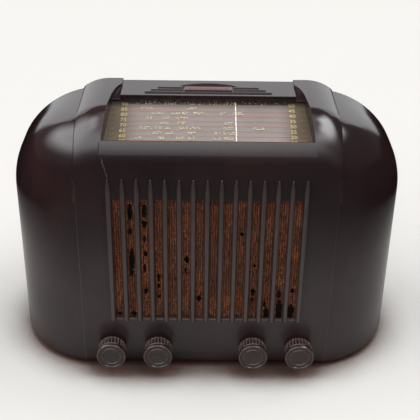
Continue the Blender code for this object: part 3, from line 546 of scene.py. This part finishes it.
def band_solid(name, inset, rear, edge, rounded=True):
    """The raised centre band, with its two edges rounded over."""
    limit = BAND_HALF - inset - (BAND_EDGE if rounded else 0.0)
    right = [(CROWN_START + (limit - CROWN_START) * i / 10, inset) for i in range(11)]
    if rounded:
        for turn in (22, 45, 68, 90):
            a = math.radians(turn)
            right.append((limit + BAND_EDGE * math.sin(a), inset + BAND_EDGE * (1 - math.cos(a))))
    stations = [(-x, i) for x, i in reversed(right)] + right
    rings = [[place(x, b, u) for b, u in band_profile(band_top(x), i, rear, edge)] for x, i in stations]
    return loft(name, rings, "bakelite")


def shell_steps(inset, rear):
    """A shell's outer ends, with the Booleans that join the band to them and hollow them out."""
    ahead = 1 if rear else -1
    edge, beyond = PARTING + ahead * GAP / 2, PARTING - ahead * 0.004
    shell = ends_solid("cabinet_rear_fine" if rear else "cabinet_front_fine", inset, rear, edge)
    band, deep = band_solid("band", inset, rear, edge), inset + WALL
    hollow = ends_solid("hollow", deep, rear, beyond)
    return shell, joins(band) + cuts(hollow, band_solid("band_hollow", deep, rear, beyond, False))


def glass_top(back):
    return GLASS_PIVOT[1] + (back - GLASS_PIVOT[0]) * math.tan(GLASS_SLOPE)


def sloped(back, drop):
    """Height at a perpendicular distance below the glass's upper face."""
    return glass_top(back) - drop / math.cos(GLASS_SLOPE)


def well_block():
    """The solid under the dial and the panel, which the dial opening is then cut from."""
    clear = GAP / math.cos(GLASS_SLOPE)
    under = PANEL_UP - PANEL_THICK
    flat_from = GLASS_PIVOT[0] + (under - clear - GLASS_PIVOT[1]) / math.tan(GLASS_SLOPE)
    start, end, end_up, radius = 0.0042, 0.1035, 0.2550, 0.0405
    roof = arc((FRONT_TOP_RADIUS, BAND_TOP - FRONT_TOP_RADIUS), (radius, radius), 156, 90, 16)
    outline = [(start, glass_top(start) + clear), *roof, (end, end_up), (end, under), (flat_from, under)]
    return side_prism("well_block", outline, WELL_BLOCK_HALF, "bakelite")


# Half-width of the dial opening at each depth: nearly straight cheeks, rounded in behind the panel's front.
CHEEKS = ((0.0926, 0.0070), (0.0922, 0.0110), (0.0914, 0.0200), (0.0904, 0.0340), (0.0893, 0.0480),
          (0.0883, 0.0600), (0.0872, 0.0700), (0.0858, 0.0770), (0.0836, 0.0840), (0.0800, 0.0910))


def well_cutters():
    """Cutters for the dial opening, the panel's level, the ramps at its ends and the lip's flat."""
    corner, start, sky = (0.0876, PANEL_FRONT), PANEL_FRONT - 0.001, 0.2700
    plan = [(x, back) for x, back in CHEEKS if back < PANEL_FRONT] + [corner]
    plan += [(-x, back) for x, back in reversed(plan)]
    opening = loft("well_opening", [[place(x, back, up) for x, back in plan] for up in (0.200, sky)])
    level = box("panel_level", (-PANEL_HALF, start, PANEL_UP), (PANEL_HALF, 0.1100, sky))
    ramps = []
    for side in (-1, 1):
        low, high, run = 0.2503, PANEL_UP + 0.0002, CHEEKS[-1][1] - PANEL_FRONT
        edge = [(PANEL_HALF, start), (corner[0] - 0.0002, start)]
        edge += [(x, back) for x, back in CHEEKS if back > PANEL_FRONT]
        floor = [place(side * x, b, low + (high - low) * (b - PANEL_FRONT) / run) for x, b in edge]
        ramps.append(loft("ramp", [floor, [place(side * x, b, sky) for x, b in edge]]))
    lip = [(0.0016, 0.2262), (0.0076, 0.2390), (-0.004, 0.2470), (-0.004, 0.2262)]
    return [opening, level, *ramps, side_prism("lip_flat", lip, 0.0945)]


def rounded_bar(name, span, back, depth, rise):
    """A low bar with a half-round section and round ends, lying across the panel."""
    middle, half = (span[0] + span[1]) / 2, (span[1] - span[0]) / 2
    turns = [math.radians(turn) for turn in range(0, 181, 15)]
    right = [(half - depth * (1 - math.sin(a)), -depth * math.cos(a)) for a in turns]
    outline = right + [(-x, -b) for x, b in right]
    stack = [[place(middle + x, back + b, PANEL_UP - 0.001) for x, b in outline]]
    for share, height in ((1.0, 0.0), (1.0, 0.55), (0.86, 0.85), (0.55, 1.0)):
        stack.append([place(middle + x - math.copysign(depth * (1 - share), x), back + b * share,
                            PANEL_UP + rise * height) for x, b in outline])
    return loft(name, stack, "bakelite")


# Trim on the panel: the rows' distance back, half-length and height, then the badge between them.
SPEED_LINES = ((0.0745, 0.0585, 0.0012), (0.0793, 0.0530, 0.0015), (0.0841, 0.0470, 0.0018))
BADGE_LOW, BADGE_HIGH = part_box("badge")
BADGE_FRONT, BADGE_BACK = BADGE_LOW[1] - FRONT_Y, BADGE_HIGH[1] - FRONT_Y
BADGE_HALF = BADGE_HIGH[0]
FAN_HALF, FAN_DEEP, FAN_EDGE = 0.029, 0.0090, 0.0004


def panel_trim():
    """Speed lines, the badge's pad and the half-round fan, which rises towards its rim."""
    under, edge, start = PANEL_UP - 0.001, 0.0010, BADGE_BACK - 0.0004
    shapes = [box("badge_pad", (-BADGE_HALF - edge, BADGE_FRONT - edge, under),
                  (BADGE_HALF + edge, BADGE_BACK + edge, PANEL_UP + 0.0008))]
    for i, (back, half, rise) in enumerate(SPEED_LINES):
        gap = BADGE_HALF + 0.0006
        spans = [(-half, half)] if back < BADGE_FRONT else [(-half, -gap), (gap, half)]
        shapes += [rounded_bar(f"speed_line_{i}", span, back, 0.0015, rise) for span in spans]
    for share, rise in ((1.0, 0.0020), (0.80, 0.0026)):
        fan = arc((0.0, start), (FAN_HALF * share, FAN_DEEP * share), 0, 180, 24)
        top = [place(x, b, PANEL_UP + FAN_EDGE + (rise - FAN_EDGE) * (b - start) / FAN_DEEP / share)
               for x, b in fan]
        shapes.append(loft("half_round", [[place(x, b, under) for x, b in fan], top]))
    return shapes


def rib_positions():
    return [-RIB_SPAN / 2 + RIB_PITCH * i for i in range(RIB_COUNT)]


def grille_rib(index, x):
    """A half-round bar that narrows to a pointed arch at its upper end."""
    half, root = RIB_WIDTH / 2, 0.0010
    steps, closed = 8, 8.6
    section = [(-half, root)] + [(-half * math.cos(a), -RIB_PROUD * math.sin(a))
                                 for a in [math.pi * i / 10 for i in range(11)]] + [(half, root)]
    rings = [[place(x + dx, back, up) for dx, back in section] for up in (SLOT_LOW - 0.0012, RIB_SHOULDER)]
    for step in range(1, steps + 1):
        share = math.sqrt(1 - (step / closed) ** 2)
        up = RIB_SHOULDER + (RIB_TIP - RIB_SHOULDER) * step / steps
        flat = 0.35 + 0.65 * share
        rings.append([place(x + dx * share, root + (back - root) * flat, up) for dx, back in section])
    return loft(f"rib_{index:02d}", rings, "bakelite")


def grille_slots():
    ribs = rib_positions()
    return [box(f"slot_{i:02d}", (a + SLOT_EDGE, -0.006, SLOT_LOW), (b - SLOT_EDGE, 0.0062, SLOT_HIGH))
            for i, (a, b) in enumerate(zip(ribs, ribs[1:]))]


# Painted highlight on the bars' crests and tips and on the band's edges; real dust on the sill.
RIB_HIGHLIGHT, SILL_DUST, BAND_EDGE_HIGHLIGHT = 0.42, 1.0, 0.30


def front_wear(x, back, up):
    """Painted highlight along the grille bars, their tips and the edges of the centre band, and the dusty
    sill under the bars.
    """
    in_grille = abs(x) < GRILLE_HALF
    if in_grille and back < -0.0004 and up < 0.21:
        return RIB_HIGHLIGHT * min(-back / RIB_PROUD, 1.0)
    if in_grille and abs(up - SLOT_LOW) < 0.0004 and back > -0.002:
        return SILL_DUST
    return BAND_EDGE_HIGHLIGHT if abs(abs(x) - BAND_HALF) < 0.0003 and up < 0.20 else 0.0


def cabinet_front():
    shell, steps = shell_steps(0.0, False)
    ribs = [grille_rib(i, x) for i, x in enumerate(rib_positions())]
    carve(shell, steps + joins(well_block(), *ribs) + cuts(*well_cutters()))
    holes = [rod(f"{name}_hole", SHAFT_HOLE, (x, -0.005, KNOB_UP), 0.013) for name, x in KNOB_X.items()]
    carve(shell, joins(*panel_trim()) + cuts(*grille_slots(), *holes))
    finish_mesh(shell)
    points = [vertex.co for vertex in shell.data.vertices]
    store_wear(shell, [front_wear(x, y - FRONT_Y, z - LEVEL) for x, y, z in points])
    show(shell, SET, "bakelite", "cabinet_front")


VENT_COUNT = 13
VENT_PITCH = 0.015
VENT_LOW, VENT_HIGH, VENT_HALF = 0.080, 0.156, 0.003
WINDOW_HALF, WINDOW_LOW, WINDOW_HIGH = 0.062, 0.0135, 0.0415
BEFORE_WALL, BEHIND_WALL = 0.172, 0.195
COVER_SCREWS = ((-0.150, 0.030), (0.150, 0.030), (-0.140, 0.185), (0.140, 0.185))


def rear_reach(x, up, inset):
    """The distance back of the rear shell's skin at this place, found by halving."""
    near, far = PARTING, CABINET_DEPTH - inset
    for _ in range(24):
        back = (near + far) / 2
        half = spread(back, REAR_PLAN_RADIUS, inset, HALF_WIDTH, True)
        top = spread(back, REAR_TOP_RADIUS, inset, END_TOP, True)
        across, rise = max(half - SHOULDER_X, 0.001), max(top - SHOULDER_UP, 0.001)
        out = math.hypot(max(abs(x) - SHOULDER_X, 0.0) / across, max(up - top + rise, 0.0) / rise)
        near, far = (back, far) if out <= 1 else (near, back)
    return near


def screw_tunnel(x, up):
    """A tube round a cover screw, whose far end follows the rear wall."""
    rings = []
    for radius, at_wall in ((0.0064, False), (0.0064, True), (0.0010, True)):
        ring = circle((x, up), radius)
        skin = [rear_reach(px, pu, REAR_STEP + WALL / 2) if at_wall else PARTING + 0.0006 for px, pu in ring]
        rings.append([place(px, back, pu) for (px, pu), back in zip(ring, skin)])
    return loft("tunnel", rings, "bakelite")


def vent(index):
    """An upright slot cutter with round ends, through the rear wall."""
    x = (index - (VENT_COUNT - 1) / 2) * VENT_PITCH
    radii = (VENT_HALF, VENT_HALF)
    outline = arc((x, VENT_HIGH - VENT_HALF), radii, 0, 180, 8)
    outline += arc((x, VENT_LOW + VENT_HALF), radii, 180, 360, 8)
    rings = [[place(px, back, up) for px, up in outline] for back in (BEFORE_WALL, BEHIND_WALL)]
    return loft(f"vent_{index:02d}", rings)


def cabinet_rear():
    shell, steps = shell_steps(REAR_STEP, True)
    carve(shell, steps)
    bores = []
    for x, up in COVER_SCREWS:
        bores.append(rod("bore", 0.0042, (x, PARTING + 0.0045, up), 0.090))
        bores.append(rod("screw_hole", 0.0022, (x, PARTING - 0.005, up), 0.015, 12))
    vents = [vent(i) for i in range(VENT_COUNT)]
    window = box("socket_window", (-WINDOW_HALF, BEFORE_WALL, WINDOW_LOW),
                 (WINDOW_HALF, BEHIND_WALL, WINDOW_HIGH))
    tunnels = [screw_tunnel(x, up) for x, up in COVER_SCREWS]
    carve(shell, joins(*tunnels) + cuts(*bores, *vents, window))
    show(finish_mesh(shell), SET, "bakelite", "cabinet_rear")


# ---------------------------------------------------------------- knobs


FLUTES = 24
FLUTE_STEPS = 6
FLUTE_DEPTH = 0.0017


def knob(name):
    """A knob with a fluted skirt, a bevelled shoulder, a rim and a dished face with two steps."""
    x = KNOB_X[name]
    rear, flute_end = -0.0030, -0.0126
    body, rim = 0.0133, 0.0142
    bore, bore_end = 0.0034, -0.0158
    # (radius, distance along the axis, depth of the flutes)
    profile = [(bore, bore_end, 0), (bore, rear, 0), (body - 0.0012, rear, 0), (body, rear - 0.0006, 0.5),
               (body, rear - 0.0012, 1), (body, flute_end + 0.0006, 1), (body, flute_end, 0.6),
               (body + 0.0001, flute_end - 0.0005, 0), (body - 0.0006, flute_end - 0.0010, 0),
               (body - 0.0004, flute_end - 0.0016, 0), (rim - 0.0004, flute_end - 0.0028, 0),
               (rim, flute_end - 0.0036, 0), (rim - 0.0001, -0.0176, 0), (rim - 0.0006, -0.0185, 0),
               (rim - 0.0013, -KNOB_REACH, 0), (rim - 0.0021, -0.0186, 0), (rim - 0.0024, -0.0181, 0),
               (0.0096, -0.0180, 0), (0.0092, -0.0184, 0), (0.0086, -0.0184, 0), (0.0081, -0.0179, 0),
               (0.0050, -0.0174, 0), (0.0, -0.0172, 0)]
    segments = FLUTES * FLUTE_STEPS
    # Rows on the rim's front edge that get the lighter colour: wear, and a painted highlight.
    lightened = (-0.0185, -KNOB_REACH, -0.0184)
    points, faces, rows, wear = [], [], [], []
    for radius, along, flute in profile:
        row = []
        for i in range(segments if radius else 1):
            turn = 2 * math.pi * i / segments
            scallop = 0.5 - 0.5 * math.cos(FLUTES * turn)
            # Flute ridges get the lighter colour too, as wear and a painted highlight.
            wear.append(max(0.0, 1 - 1.6 * scallop) * flute if flute else 0.45 if along in lightened else 0.0)
            r = radius - FLUTE_DEPTH * flute * scallop
            row.append(len(points))
            points.append(place(x + r * math.cos(turn), along, KNOB_UP + r * math.sin(turn)))
        rows.append(row)
    rows.insert(0, [len(points)])
    points.append(place(x, bore_end, KNOB_UP))
    for low, high in zip(rows, rows[1:]):
        for i in range(segments):
            j = (i + 1) % segments
            corners = [low[i % len(low)], low[j % len(low)], high[j % len(high)], high[i % len(high)]]
            faces.append(list(dict.fromkeys(corners)))
    piece = add_mesh(f"{name}_knob_fine", points, faces, "knob", 28)
    store_wear(piece, wear + [0.0])
    show(piece, f"{name}_turning", "knob", f"{name}_knob")


# ---------------------------------------------------------------- grille cloth


TEARS = (
    # (slot counted from the left, height, half-width, half-height)
    (1, 0.168, 0.0026, 0.010), (1, 0.148, 0.0018, 0.005), (1, 0.118, 0.0030, 0.014),
    (1, 0.104, 0.0024, 0.006), (2, 0.170, 0.0024, 0.009), (2, 0.156, 0.0030, 0.004),
    (2, 0.140, 0.0016, 0.005), (2, 0.124, 0.0020, 0.004), (2, 0.108, 0.0014, 0.006),
    (2, 0.082, 0.0020, 0.004), (3, 0.098, 0.0018, 0.006), (3, 0.088, 0.0014, 0.003),
    (3, 0.076, 0.0024, 0.003), (5, 0.118, 0.0022, 0.005), (5, 0.106, 0.0008, 0.007),
    (6, 0.074, 0.0028, 0.004), (9, 0.146, 0.0020, 0.002), (10, 0.112, 0.0014, 0.002),
    (10, 0.082, 0.0026, 0.005), (10, 0.074, 0.0018, 0.003), (11, 0.058, 0.0030, 0.008),
    (11, 0.068, 0.0014, 0.005), (12, 0.062, 0.0036, 0.013), (12, 0.080, 0.0022, 0.006),
    (13, 0.060, 0.0038, 0.010), (13, 0.084, 0.0022, 0.003), (0, 0.056, 0.0028, 0.002),
    (1, 0.056, 0.0030, 0.003),
)


def grille_cloth():
    """The cloth behind the bars, a stretched sheet with ragged tears."""
    draw = random.Random(7)
    step = 0.0008
    (x0, y0, z0), (x1, y1, z1) = CLOTH_LOW, CLOTH_HIGH
    columns, rows = round((x1 - x0) / step), round((z1 - z0) / step)
    middle = (y0 + y1) / 2
    holes = [(-RIB_SPAN / 2 + RIB_PITCH * (slot + 0.5) + draw.uniform(-0.0008, 0.0008), LEVEL + up,
              half, tall) for slot, up, half, tall in TEARS]
    points, faces = [], []
    for row in range(rows + 1):
        for column in range(columns + 1):
            x = x0 + (x1 - x0) * column / columns
            z = z0 + (z1 - z0) * row / rows
            sag = 0.00010 * math.sin(x * 210) * math.sin(z * 150 + 1) + draw.uniform(-0.00003, 0.00003)
            points.append((x, middle + sag, z))
    for row in range(rows):
        for column in range(columns):
            x = x0 + (x1 - x0) * (column + 0.5) / columns
            z = z0 + (z1 - z0) * (row + 0.5) / rows
            ragged = 0.55 * draw.random()
            torn = any(((x - hx) / hw) ** 2 + ((z - hz) / hh) ** 2 < 1.0 - ragged
                       for hx, hz, hw, hh in holes if abs(z - hz) < hh)
            if not torn:
                a = row * (columns + 1) + column
                faces.append([a, a + 1, a + columns + 2, a + columns + 1])
    piece = add_mesh("grille_cloth", points, faces, "cloth", 60)
    with edited(piece.data) as shell:
        loose = [v for v in shell.verts if not v.link_faces]
        bmesh.ops.delete(shell, geom=loose, context="VERTS")
    show(piece, SET, "cloth", "speaker_cloth")


# ---------------------------------------------------------------- dial


PRINT_DROP = GLASS_THICK + 0.0002
NEEDLE_DROP = 0.0036
FIELD_DROP = 0.0042
FIELD_THICK = 0.0004
FIELD_HALF = 0.0785
FIELD_NEAR, FIELD_FAR = 0.0120, 0.0700
INK = 0.00004


def on_dial(x, back, drop):
    return place(x, back, sloped(back, drop))


def slope_slab(name, span, near, far, drop, thick, finish):
    """A flat slab lying in the dial's slope, its upper face at the given drop under the glass's."""
    corners = ((near, drop), (far, drop), (far, drop + thick), (near, drop + thick))
    return loft(name, [[on_dial(x, b, d) for b, d in corners] for x in span], finish)


BLOCK_FACES = ((0, 1, 2, 3), (7, 6, 5, 4), (0, 4, 5, 1), (1, 5, 6, 2), (2, 6, 7, 3), (3, 7, 4, 0))


class Blocks:
    """Small blocks gathered into one mesh. Each stands between two levels, by corner(x, back, level)."""

    def __init__(self, corner, levels):
        self.corner, self.levels = corner, levels
        self.points, self.faces = [], []

    def add(self, x, back, wide, tall):
        start = len(self.points)
        for level in self.levels:
            for dx, db in ((-0.5, -0.5), (0.5, -0.5), (0.5, 0.5), (-0.5, 0.5)):
                self.points.append(self.corner(x + dx * wide, back + db * tall, level))
        self.faces += [[start + i for i in face] for face in BLOCK_FACES]

    def show(self, name, material, slot):
        show(add_mesh(name, self.points, self.faces, material), SET, slot)


def numeral(text, x, back, size, material):
    """A number lying on the underside of the glass."""
    curve = bpy.data.curves.new(f"number_{text}", "FONT")
    curve.body = text
    curve.size = size
    curve.align_x = "CENTER"
    curve.align_y = "CENTER"
    curve.extrude = INK / 2
    curve.resolution_u = 2
    curve.materials.append(material)
    obj = bpy.data.objects.new(f"number_{text}_{'left' if x < 0 else 'right'}", curve)
    obj.matrix_world = Matrix.Translation(on_dial(x, back, PRINT_DROP)) @ Matrix.Rotation(GLASS_SLOPE, 4, "X")
    bpy.context.scene.collection.objects.link(obj)
    show(obj, SET, "pointer")


def dial_print():
    """Generic scale: red lines, rows of short station marks, and number columns at both edges."""
    draw = random.Random(21)
    colours = {"cream": (0.66, 0.62, 0.40), "gold": (0.62, 0.47, 0.15), "red": (0.50, 0.13, 0.10),
               "green": (0.06, 0.20, 0.09), "dim": (0.17, 0.13, 0.06)}
    inks = {ink: printed(f"{ink}_ink", colour) for ink, colour in colours.items()}
    prints = {ink: Blocks(on_dial, (PRINT_DROP, PRINT_DROP + INK)) for ink in inks}
    rows = [0.0150 + 0.0064 * i for i in range(9)]
    for back in rows:
        prints["red"].add(0.0, back, 2 * FIELD_HALF - 0.012, 0.00030)
    for back in rows[1:]:
        x = -0.064 + draw.uniform(0, 0.006)
        while x < 0.062:
            width = draw.uniform(0.004, 0.011)
            if draw.random() < (0.72 if x < -0.01 else 0.45 if x < 0.03 else 0.16):
                used = 0.0
                while used < width:
                    letter = draw.uniform(0.0005, 0.0012)
                    for line in (-0.0038, -0.0020):
                        if draw.random() < 0.7:
                            jitter = draw.uniform(-0.0003, 0.0003)
                            tall = draw.uniform(0.0006, 0.0012)
                            prints["cream"].add(x + used, back + line + jitter, letter, tall)
                    used += letter + 0.0004
            x += width + draw.uniform(0.002, 0.009)
    for line in (0.0688, 0.0706, 0.0722):
        for i in range(64):
            x = -0.070 + 0.140 * (i + draw.uniform(-0.3, 0.3)) / 63
            if draw.random() < (0.85 if -0.060 < x < 0.028 else 0.35):
                ink = draw.choice(("red", "green", "gold", "cream", "cream"))
                prints[ink].add(x, line, draw.uniform(0.0006, 0.0018), draw.uniform(0.0007, 0.0013))
    for ink, marks in prints.items():
        if marks.points:
            marks.show(f"scale_{ink}", inks[ink], "pointer")
    for i in range(8):
        back = 0.0200 + 0.0068 * i
        for side in (-1, 1):
            numeral(str(15 + 5 * i if side > 0 else 55 + 5 * i), side * 0.0762, back, 0.0064, inks["gold"])
            numeral(str(20 + 3 * i), side * 0.0858, back + 0.002, 0.0050, inks["dim"])


def dial_plates():
    """The clouded field under the print, the brown margins beside it, and a dark card behind it as painted
    shade under the panel.
    """
    field_span = (-FIELD_HALF, FIELD_HALF)
    field = slope_slab("dial_field", field_span, FIELD_NEAR, FIELD_FAR, FIELD_DROP, FIELD_THICK, dial_haze())
    show(field, SET, "board")
    brown = moulded("margin_brown", (0.060, 0.036, 0.018), (0.095, 0.062, 0.033), 0.6, 90.0)
    for side, name in ((-1, "left"), (1, "right")):
        span = sorted((side * (FIELD_HALF - 0.0030), side * 0.0926))
        drop = FIELD_DROP + 0.0005
        margin = slope_slab(f"dial_margin_{name}", span, 0.0100, 0.0735, drop, FIELD_THICK, brown)
        show(margin, SET, "board")
    # A dark card behind the field stands in for the shade under the panel's overhang.
    shade_material = moulded("painted_shade_card", (0.010, 0.007, 0.007), (0.020, 0.014, 0.013), 0.9, 90.0)
    show(slope_slab("dial_shade_card", (-0.0925, 0.0925), 0.0600, 0.0835, 0.0094, 0.0008, shade_material), SET, "board")


def needle():
    """The needle over the field, its stem down behind the field's far edge, and the carriage on the rail."""
    low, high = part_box("pointer")
    x = (low[0] + high[0]) / 2
    stem_near, stem_far, post_near = 0.0708, 0.0724, 0.0385

    def strip(name, half, near, drop, thick):
        return slope_slab(name, (x - half, x + half), near, stem_far, drop, thick, "pointer")

    blade = strip("needle_fine", 0.00045, 0.0150, NEEDLE_DROP, 0.0003)
    stem = strip("stem", 0.0008, stem_near, NEEDLE_DROP + 0.0001, 0.0036)
    arm = strip("arm", 0.0012, post_near, FIELD_DROP + 0.0017, 0.0014)
    post_top = sloped(post_near, FIELD_DROP + 0.0018)
    post = box("post", (x - 0.0020, post_near, 0.2320), (x + 0.0020, 0.0415, post_top), "pointer")
    side = [(0.0322, sloped(0.0322, 0.0058)), (0.0322, 0.2284), (0.0330, 0.2274), (0.0422, 0.2274),
            (0.0430, 0.2282), (0.0430, 0.2334), (0.0388, 0.2334), (0.0360, sloped(0.0360, 0.0058))]
    ends = (x - 0.0058, x + 0.0058)
    carriage = loft("carriage", [[place(px, b, u) for b, u in side] for px in ends], "pointer")
    past = (x - 0.02, x + 0.02)
    rail = loft("bore", [[place(px, b, u) for b, u in circle((0.035, 0.230), 0.0018)] for px in past])
    cord = box("cord_gap", (past[0], 0.0400, 0.2308), (past[1], 0.0420, 0.2330))
    carve(blade, joins(stem, arm, post, carriage) + cuts(rail, cord))
    show(finish_mesh(blade), "pointer_sliding", "pointer", "pointer")


def badge():
    """A small plain plaque with a row of generic bars in faded red."""
    low, high = BADGE_LOW[2] - LEVEL, BADGE_HIGH[2] - LEVEL
    corners = (-BADGE_HALF, BADGE_FRONT, low), (BADGE_HALF, BADGE_BACK, high - 0.0003)
    plate = box("badge_plate", *corners, "badge")
    show(plate, SET, "badge", "badge")
    bars = Blocks(place, (high - 0.0004, high))
    for i in range(8):
        bars.add(-0.0165 + 0.0047 * i, 0.0806, 0.0030, 0.0038)
    bars.show("badge_bars", printed("badge_red", (0.24, 0.045, 0.050)), "badge")


# ---------------------------------------------------------------- CAD nodes that stay


def dress_nodes():
    """Gives every CAD node the procedural material of its slot, and the dial backplate the dark enamel."""
    slots = {row["node"]: row["material_slot"] for row in frame["record"]["subparts"]}
    for name, obj in frame["nodes"].items():
        obj.data.materials.clear()
        dull = name == "dial_backplate"
        obj.data.materials.append(MATERIALS["cast" if dull else slots[name]])


def crack():
    """A light hairline crack from the lip's lower left corner to the first rib."""
    draw = random.Random(3)
    material = moulded("crack_edge", (0.030, 0.023, 0.024), (0.085, 0.070, 0.068), 0.6, 300.0)
    steps, thick, deep = 22, 0.00003, 0.0002
    line = []
    for i in range(steps + 1):
        share = i / steps
        line.append((-0.0925 + 0.0045 * share + draw.uniform(-0.0006, 0.0006), 0.2240 - 0.0200 * share))
    rings = []
    for i, (x, up) in enumerate(line):
        reach = max(up - (BAND_TOP - FRONT_TOP_RADIUS), 0.0)
        back = FRONT_TOP_RADIUS - math.sqrt(FRONT_TOP_RADIUS**2 - reach**2)
        half = 0.00032 * (0.5 + draw.random()) * (1.0 if 0 < i < steps else 0.2)
        corners = ((-half, -thick), (half, -thick), (half, deep), (-half, deep))
        rings.append([place(x + dx, back + db, up) for dx, db in corners])
    show(loft("crack", rings, material), SET, "bakelite")


# ---------------------------------------------------------------- stage, light and camera


def pale_floor():
    """A plain pale floor, with a warm deep contact shadow where something stands close over it."""
    m = Nodes("pale_floor", (0.50, 0.475, 0.45), 0.75)
    clouds = m.noise(3.0, 2.0)
    pale = m.mix(m.range(clouds, 0.0, 0.25), (0.485, 0.467, 0.443), (0.445, 0.428, 0.403))
    near = m.add("ShaderNodeAmbientOcclusion", {"Distance": 0.060}, samples=8).outputs["AO"]
    contact = m.range(near, 0.0, 1.0, 0.42, 0.86, True)
    m.link(m.mix(contact, (0.060, 0.026, 0.018), pale), "Base Color")
    return m.material


STAGE_REACH = 4


def stage_card(name, up, material):
    """A wide level card, no part of the object."""
    mesh = bpy.data.meshes.new(name)
    corners = [(x * STAGE_REACH, y * STAGE_REACH, up) for x, y in ((-1, -1), (1, -1), (1, 1), (-1, 1))]
    mesh.from_pydata(corners, [], [[0, 1, 2, 3]])
    mesh.materials.append(material)
    obj = bpy.data.objects.new(name, mesh)
    bpy.context.scene.collection.objects.link(obj)
    return obj


def stage():
    """The floor, and a card just over it that only reflections show, where it dims the farther floor."""
    stage_card("floor", 0, pale_floor())
    m = Nodes("dark_room", (0.0, 0.0, 0.0), 1.0)
    m.set("Specular IOR Level", 0.0)
    spot = m.add("ShaderNodeVectorMath", {0: m.coordinates, 1: (0.80, 1.0, 0.0)}, operation="MULTIPLY")
    far = m.add("ShaderNodeVectorMath", {0: spot.outputs[0]}, operation="LENGTH").outputs["Value"]
    m.link(m.range(far, 0.40, 1.0, 0.22, 0.42, True), "Alpha")
    card = stage_card("dark_card", 0.001, m.material)
    for ray in ("camera", "diffuse", "shadow", "transmission"):
        setattr(card, f"visible_{ray}", False)


# Soft boxes round the object: azimuth from and to (0 in front, 90 on the right), elevation from and to,
# brightness, and how softly each edge fades, in degrees.
SOFT_BOXES = (
    (-122, -52, 18, 60, 3.9, 20),
    (-52, 20, 20, 60, 2.6, 20),
    (20, 50, 42, 62, 3.6, 14),
    (50, 138, 45, 70, 7.4, 14),
    (-130, -52, 60, 74, 3.0, 16),
    (142, 218, -2, 30.2, 1.12, 2),
    (-180, 180, 60, 90, 0.85, 12),
    (-180, 180, 0, 90, 0.08, 4),
)


def studio_light(world):
    """Paints soft boxes on a dark studio by direction, and a plain pale backdrop for the camera alone."""
    tree = world.node_tree
    nodes, links = tree.nodes, tree.links

    def edge(value, at, soft):
        inputs = {0: value, 1: at - soft, 2: at + soft}
        return new_node(tree, "ShaderNodeMapRange", inputs, interpolation_type="SMOOTHSTEP").outputs[0]

    def math_node(operation, *values):
        return new_node(tree, "ShaderNodeMath", dict(enumerate(values)), operation=operation).outputs[0]

    direction = new_node(tree, "ShaderNodeTexCoord").outputs["Generated"]
    x, y, z = new_node(tree, "ShaderNodeSeparateXYZ", {0: direction}).outputs
    elevation = math_node("DEGREES", math_node("ARCSINE", z))
    azimuth = math_node("DEGREES", math_node("ARCTAN2", x, math_node("MULTIPLY", y, -1.0)))
    behind = math_node("MODULO", math_node("ADD", azimuth, 360.0), 360.0)
    total = 0.0
    for az_low, az_high, el_low, el_high, glow, soft in SOFT_BOXES:
        turn = behind if az_high > 180 else azimuth
        window = math_node("SUBTRACT", edge(elevation, el_low, soft / 2), edge(elevation, el_high, soft / 2))
        if az_high - az_low < 360:
            sides = math_node("SUBTRACT", edge(turn, az_low, soft), edge(turn, az_high, soft))
            window = math_node("MULTIPLY", window, sides)
        total = math_node("MULTIPLY_ADD", window, glow, total)
    background = nodes["Background"]
    background.inputs["Color"].default_value = (0.965, 0.985, 1.0, 1.0)
    links.new(total, background.inputs["Strength"])
    backdrop = new_node(tree, "ShaderNodeBackground", {"Color": (0.87, 0.89, 0.88, 1.0)})
    seen = new_node(tree, "ShaderNodeLightPath").outputs["Is Camera Ray"]
    surface = {0: seen, 1: background.outputs[0], 2: backdrop.outputs[0]}
    mixed = new_node(tree, "ShaderNodeMixShader", surface)
    links.new(mixed.outputs[0], nodes["World Output"].inputs["Surface"])


def lights():
    world = bpy.data.worlds.new("studio")
    world.use_nodes = True
    studio_light(world)
    bpy.context.scene.world = world
    bpy.context.scene.view_settings.view_transform = "Standard"


def camera():
    """Aimed from the photograph's viewing angle: 30 degrees down, a little from the left."""
    data = bpy.data.cameras.new("camera")
    data.sensor_width = 36.0
    data.lens = 77.9
    data.clip_start = 0.05
    down, aside, roll = math.radians(29.91), math.radians(0.69), math.radians(-0.92)
    ahead = Vector((math.sin(aside) * math.cos(down), math.cos(aside) * math.cos(down), -math.sin(down)))
    right = Vector((math.cos(aside), -math.sin(aside), 0.0))
    below = ahead.cross(right)
    turned_right = math.cos(roll) * right + math.sin(roll) * below
    turned_up = math.sin(roll) * right - math.cos(roll) * below
    matrix = Matrix((turned_right, turned_up, -ahead)).transposed().to_4x4()
    obj = bpy.data.objects.new("camera", data)
    obj.matrix_world = Matrix.Translation(place(-0.0061, -0.7015, 0.5770)) @ matrix
    bpy.context.scene.collection.objects.link(obj)
    bpy.context.scene.camera = obj


camera()
stage()
lights()
dress_nodes()
cabinet_front()
cabinet_rear()
for knob_name in KNOB_X:
    knob(knob_name)
grille_cloth()
dial_print()
dial_plates()
needle()
badge()
crack()
